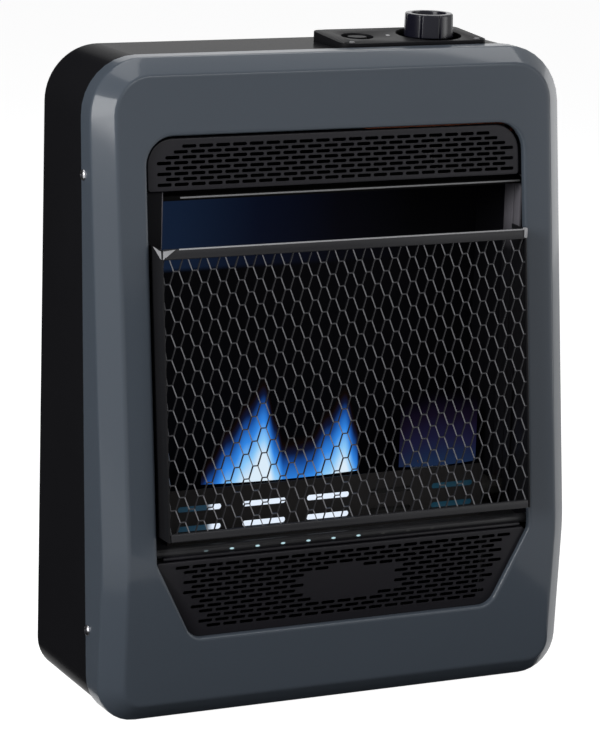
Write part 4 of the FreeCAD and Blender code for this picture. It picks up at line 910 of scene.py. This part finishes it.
# Gas train inside the casing: a brass valve on a steel bracket, a die-cast regulator, a steel supply
# pipe, aluminium pilot and burner lines, a copper thermocouple and a rubber-covered spark lead.
# Folded brackets carry the valve, the regulator, the injector and the pilot.
brass = coated("brass", (0.52, 0.36, 0.12), 0.32, 0.06, 0.1, Metallic=1.0)
dress(brass, "gas_valve", "gas_injector", "valve_plunger", "pilot_burner")
zinc = coated("zinc_plate", (0.42, 0.42, 0.43), 0.36, 0.08, 0.1, Metallic=1.0)
dress(zinc, "valve_bracket", "injector_bracket", "pilot_bracket")
dress(casing_paint, "regulator_bracket", "valve_stem")
cast_metal = coated("cast_aluminium", (0.36, 0.36, 0.37), 0.5, 0.2, 0.1, Metallic=0.9)
dress(cast_metal, "gas_regulator", "burner_feed_tube", "pilot_tube")
dress(coated("black_pipe", (0.030, 0.030, 0.032), 0.45, 0.1, 0.1, Metallic=0.5), "inlet_pipe")
dress(coated("copper_line", (0.55, 0.25, 0.13), 0.34, 0.06, 0.15, Metallic=1.0), "thermocouple")
dress(coated("lead_rubber", (0.45, 0.10, 0.03), 0.55, 0.05), "ignition_lead")

# Screws: round-headed steel screws with a cross recess. Four plated ones hold the panel's rim to the
# casing from the sides, and two small darker ones hold the control plate from above.
screw_sizes = {"Head radius": 4.6 * MM, "Head height": 2.3 * MM, "Recess length": 4.6 * MM,
               "Recess width": 1.1 * MM, "Recess depth": 1.1 * MM}


def screw_heads(name, seats, turn, scale, material, node):
    """A screw head on each seat, turned to face sideways or left facing up."""
    head_sides, head_bands, dome_power, dome_share = 20, 4, 3.0, 0.45
    p = Pattern(name, {**{label: size * scale for label, size in screw_sizes.items()}, "Turn": turn})
    radius, height = p.size("Head radius"), p.size("Head height")
    head = p.node("GeometryNodeMeshCylinder", {}, {
        "Vertices": head_sides, "Side Segments": head_bands, "Radius": radius, "Depth": height})
    spot = p.position()
    up = p.axis(spot, "Z") / height + 0.5
    dome = 1.0 - up.call("POWER", dome_power) * dome_share
    head = p.moved(head, p.vector(p.axis(spot, "X") * dome, p.axis(spot, "Y") * dome, up * height))
    deep = p.size("Recess depth")
    for x_side, y_side in (("Recess length", "Recess width"), ("Recess width", "Recess length")):
        block = p.vector(p.size(x_side), p.size(y_side), deep * 2)
        arm = p.node("GeometryNodeMeshCube", {}, {"Size": block})
        lifted = p.node("ShaderNodeVectorMath", {"operation": "ADD"}, {
            0: p.position(), 1: p.vector(0.0, 0.0, height)})
        head = p.without(head, p.moved(arm, lifted))
    side = p.axis(p.position(), "X").call("SIGN")
    heads = p.instances(p.size("Base"), head, p.vector(0.0, side * p.size("Turn"), 0.0))
    heads = p.make(heads, material, name, plain_mesh(name, seats, []))
    fixed(heads, "plated_steel", node)


plating = coated("screw_plating", (0.40, 0.40, 0.42), 0.3, 0.06, 0.1, Metallic=1.0)
upper_screw, lower_screw, screw_forward = 453 * MM, 75 * MM, 5 * MM
rim_seats = [(side * panel_half, back_plane - rim_back(z) - screw_forward, z)
             for side in (-1, 1) for z in (upper_screw, lower_screw)]
sideways, full_size = math.pi / 2, 1.0
screw_heads("rim_screw_heads", rim_seats, sideways, full_size, plating, "rim_screws")
inset, upright, small_size = 4.6 * MM, 0.0, 0.55
seat_y = plate_low.y + inset
plate_seats = [(x, seat_y, plate_high.z + plate_rise(seat_y))
               for x in (plate_low.x + inset, plate_high.x - inset)]
screw_grey = coated("screw_grey", (0.10, 0.10, 0.105), 0.4, 0.06, Specular_IOR_Level=0.3)
screw_heads("plate_screw_heads", plate_seats, upright, small_size, screw_grey, "control_plate_screws")

# Floor and light: a plain pale floor and white surround, with large soft lamps as in a studio. A dark
# cloth flag, which only reflections meet, stands at the left, behind and in front, and the floor's white
# glow is cut out under the heater, a painted shadow.
floor_half = 6.0
shade_half_x, shade_half_y, shade_middle_y = 190 * MM, 62.5 * MM, 17.5 * MM
floor_mesh = plain_mesh("floor", [
    (-floor_half, -floor_half, 0), (floor_half, -floor_half, 0),
    (floor_half, floor_half, 0), (-floor_half, floor_half, 0)], [(0, 1, 2, 3)])
floor_white = Finish("floor_white", Base_Color=(0.35, 0.35, 0.35, 1.0), Roughness=1.0,
                     Specular_IOR_Level=0.0, Emission_Strength=1.0)


def white_rays(nodes):
    """The rays that meet the white surround: the camera's own, reflections and what is seen through."""
    camera, glossy, through = (nodes.node("ShaderNodeLightPath", output=f"Is {kind} Ray")
                               for kind in ("Camera", "Glossy", "Transmission"))
    return camera.call("MAXIMUM", glossy).call("MAXIMUM", through)


# Painted shadow: the floor's white glow is cut out over the heater's footprint.
across = abs(floor_white.along("X")) - shade_half_x
deep = abs(floor_white.along("Y") - shade_middle_y) - shade_half_y
open_floor = across.call("MAXIMUM", deep) > 0.0
seen = white_rays(floor_white) * open_floor
black, paper_white = (0.0, 0.0, 0.0, 1.0), (0.92, 0.92, 0.92, 1.0)
floor_white.feed("Emission Color", floor_white.mix(seen, black, paper_white))
floor = shown("floor", floor_mesh, floor_white.material)

flag_foot, flag_top = 1 * MM, 2.4
wall_x, wall_front, wall_back, wing_right = -0.7, 0.1, 1.5, 0.05
# The flag's apron, in front of and under the heater, is a dark sheet standing for the floor's shadow in
# reflections: painted shadow.
apron_left, apron_right, apron_front, apron_back, lane_right = -0.35, 0.3, -0.4, -0.05, -0.22
card_y, card_left, card_right, card_top = -1.46, 0.25, 0.62, 0.4
flag_points = [
    (apron_left, apron_front, flag_foot), (apron_right, apron_front, flag_foot),
    (apron_right, apron_back, flag_foot), (lane_right, apron_back, flag_foot),
    (lane_right, wall_back, flag_foot), (wall_x, wall_back, flag_foot), (wall_x, wall_front, flag_foot),
    (wall_x, wall_back, flag_top), (wall_x, wall_front, flag_top),
    (card_left, card_y, flag_foot), (card_right, card_y, flag_foot),
    (card_right, card_y, card_top), (card_left, card_y, card_top),
    (wing_right, wall_back, flag_foot), (wing_right, wall_back, flag_top)]
apron, lane, left_wall = (0, 1, 2, 3), (0, 3, 4, 5, 6), (6, 5, 7, 8)
front_card, back_wing = (9, 10, 11, 12), (5, 13, 14, 7)
flag_mesh = plain_mesh("dark_flag", flag_points, [apron, lane, left_wall, front_card, back_wing])
flag_cloth = Finish("flag_cloth", Base_Color=(0.01, 0.01, 0.01, 1.0), Roughness=1.0,
                    Specular_IOR_Level=0.0)
flag = shown("dark_flag", flag_mesh, flag_cloth.material)
flag.visible_camera = flag.visible_diffuse = flag.visible_shadow = flag.visible_transmission = False

world = bpy.data.worlds.new("studio")
bpy.context.scene.world = world
world.use_nodes = True
sky = Nodes(world.node_tree)
fill_grey, sky_white = (0.10, 0.10, 0.105, 1.0), (1.0, 1.0, 1.0, 1.0)
shade = sky.mix(white_rays(sky), fill_grey, sky_white)
world.node_tree.links.new(shade.socket, world.node_tree.nodes["Background"].inputs["Color"])

for name, place, aim, size, power in (
        ("overhead", (-0.3, 0.3, 2.2), (0, 0, 0.3), (1.4, 0.9), 15),
        ("front_right", (2.1, -2.2, 0.9), (0, 0, 0.35), (1.2, 1.5), 7),
        ("front_high", (0.5, -2.3, 1.5), (0, 0, 0.45), (1.5, 0.9), 4),
        ("left_side", (-2.2, -0.9, 1.2), (0, 0, 0.3), (1.1, 1.2), 60),
        ("left_strip", (-2.3, 0.6, 1.35), (0, 0, 0.4), (0.3, 0.5), 1.5),
        ("right_side", (2.6, 1.1, 0.3), (0, 0, 0.3), (0.9, 1.6), 7),
        ("right_strip", (2.5, -1.1, 0.35), (0, 0, 0.3), (0.5, 1.5), 15),
        ("crease_strip", (0.8, -2.35, 2.1), (0, 0, 0.4), (1.8, 0.3), 15),
        ("overhead_strip", (0.8, 0.6, 1.9), (0, 0, 0.3), (1.6, 0.3), 7),
        ("backdrop", (1.3, 2.6, 1.25), (0, 0, 0.5), (1.8, 1.0), 1.5)):
    data = bpy.data.lights.new(name, "AREA")
    data.energy = power
    data.shape = "RECTANGLE"
    data.size, data.size_y = size
    lamp_object = bpy.data.objects.new(name, data)
    lamp_object.location = place
    lamp_object.rotation_euler = (Vector(aim) - Vector(place)).to_track_quat("-Z", "Y").to_euler()
    bpy.context.collection.objects.link(lamp_object)

# Camera at the photograph's angle: a long lens a little left of the front and above the top, rolled
# by under two degrees. Its place, angles and lens come from a fit to the edges of the panel and casing.
camera_place, camera_lens = (-1.17984, -2.42230, 0.89623), 158.95
camera_yaw, camera_pitch, camera_roll = 0.4486, 0.2264, 0.031
camera_data = bpy.data.cameras.new("camera")
camera_data.lens = camera_lens
camera = bpy.data.objects.new("camera", camera_data)
turn = (Matrix.Rotation(-camera_yaw, 4, "Z") @ Matrix.Rotation(math.pi / 2 - camera_pitch, 4, "X")
        @ Matrix.Rotation(camera_roll, 4, "Z"))
camera.matrix_world = Matrix.Translation(camera_place) @ turn
bpy.context.collection.objects.link(camera)
bpy.context.scene.camera = camera
bpy.context.scene.view_settings.view_transform = "Standard"
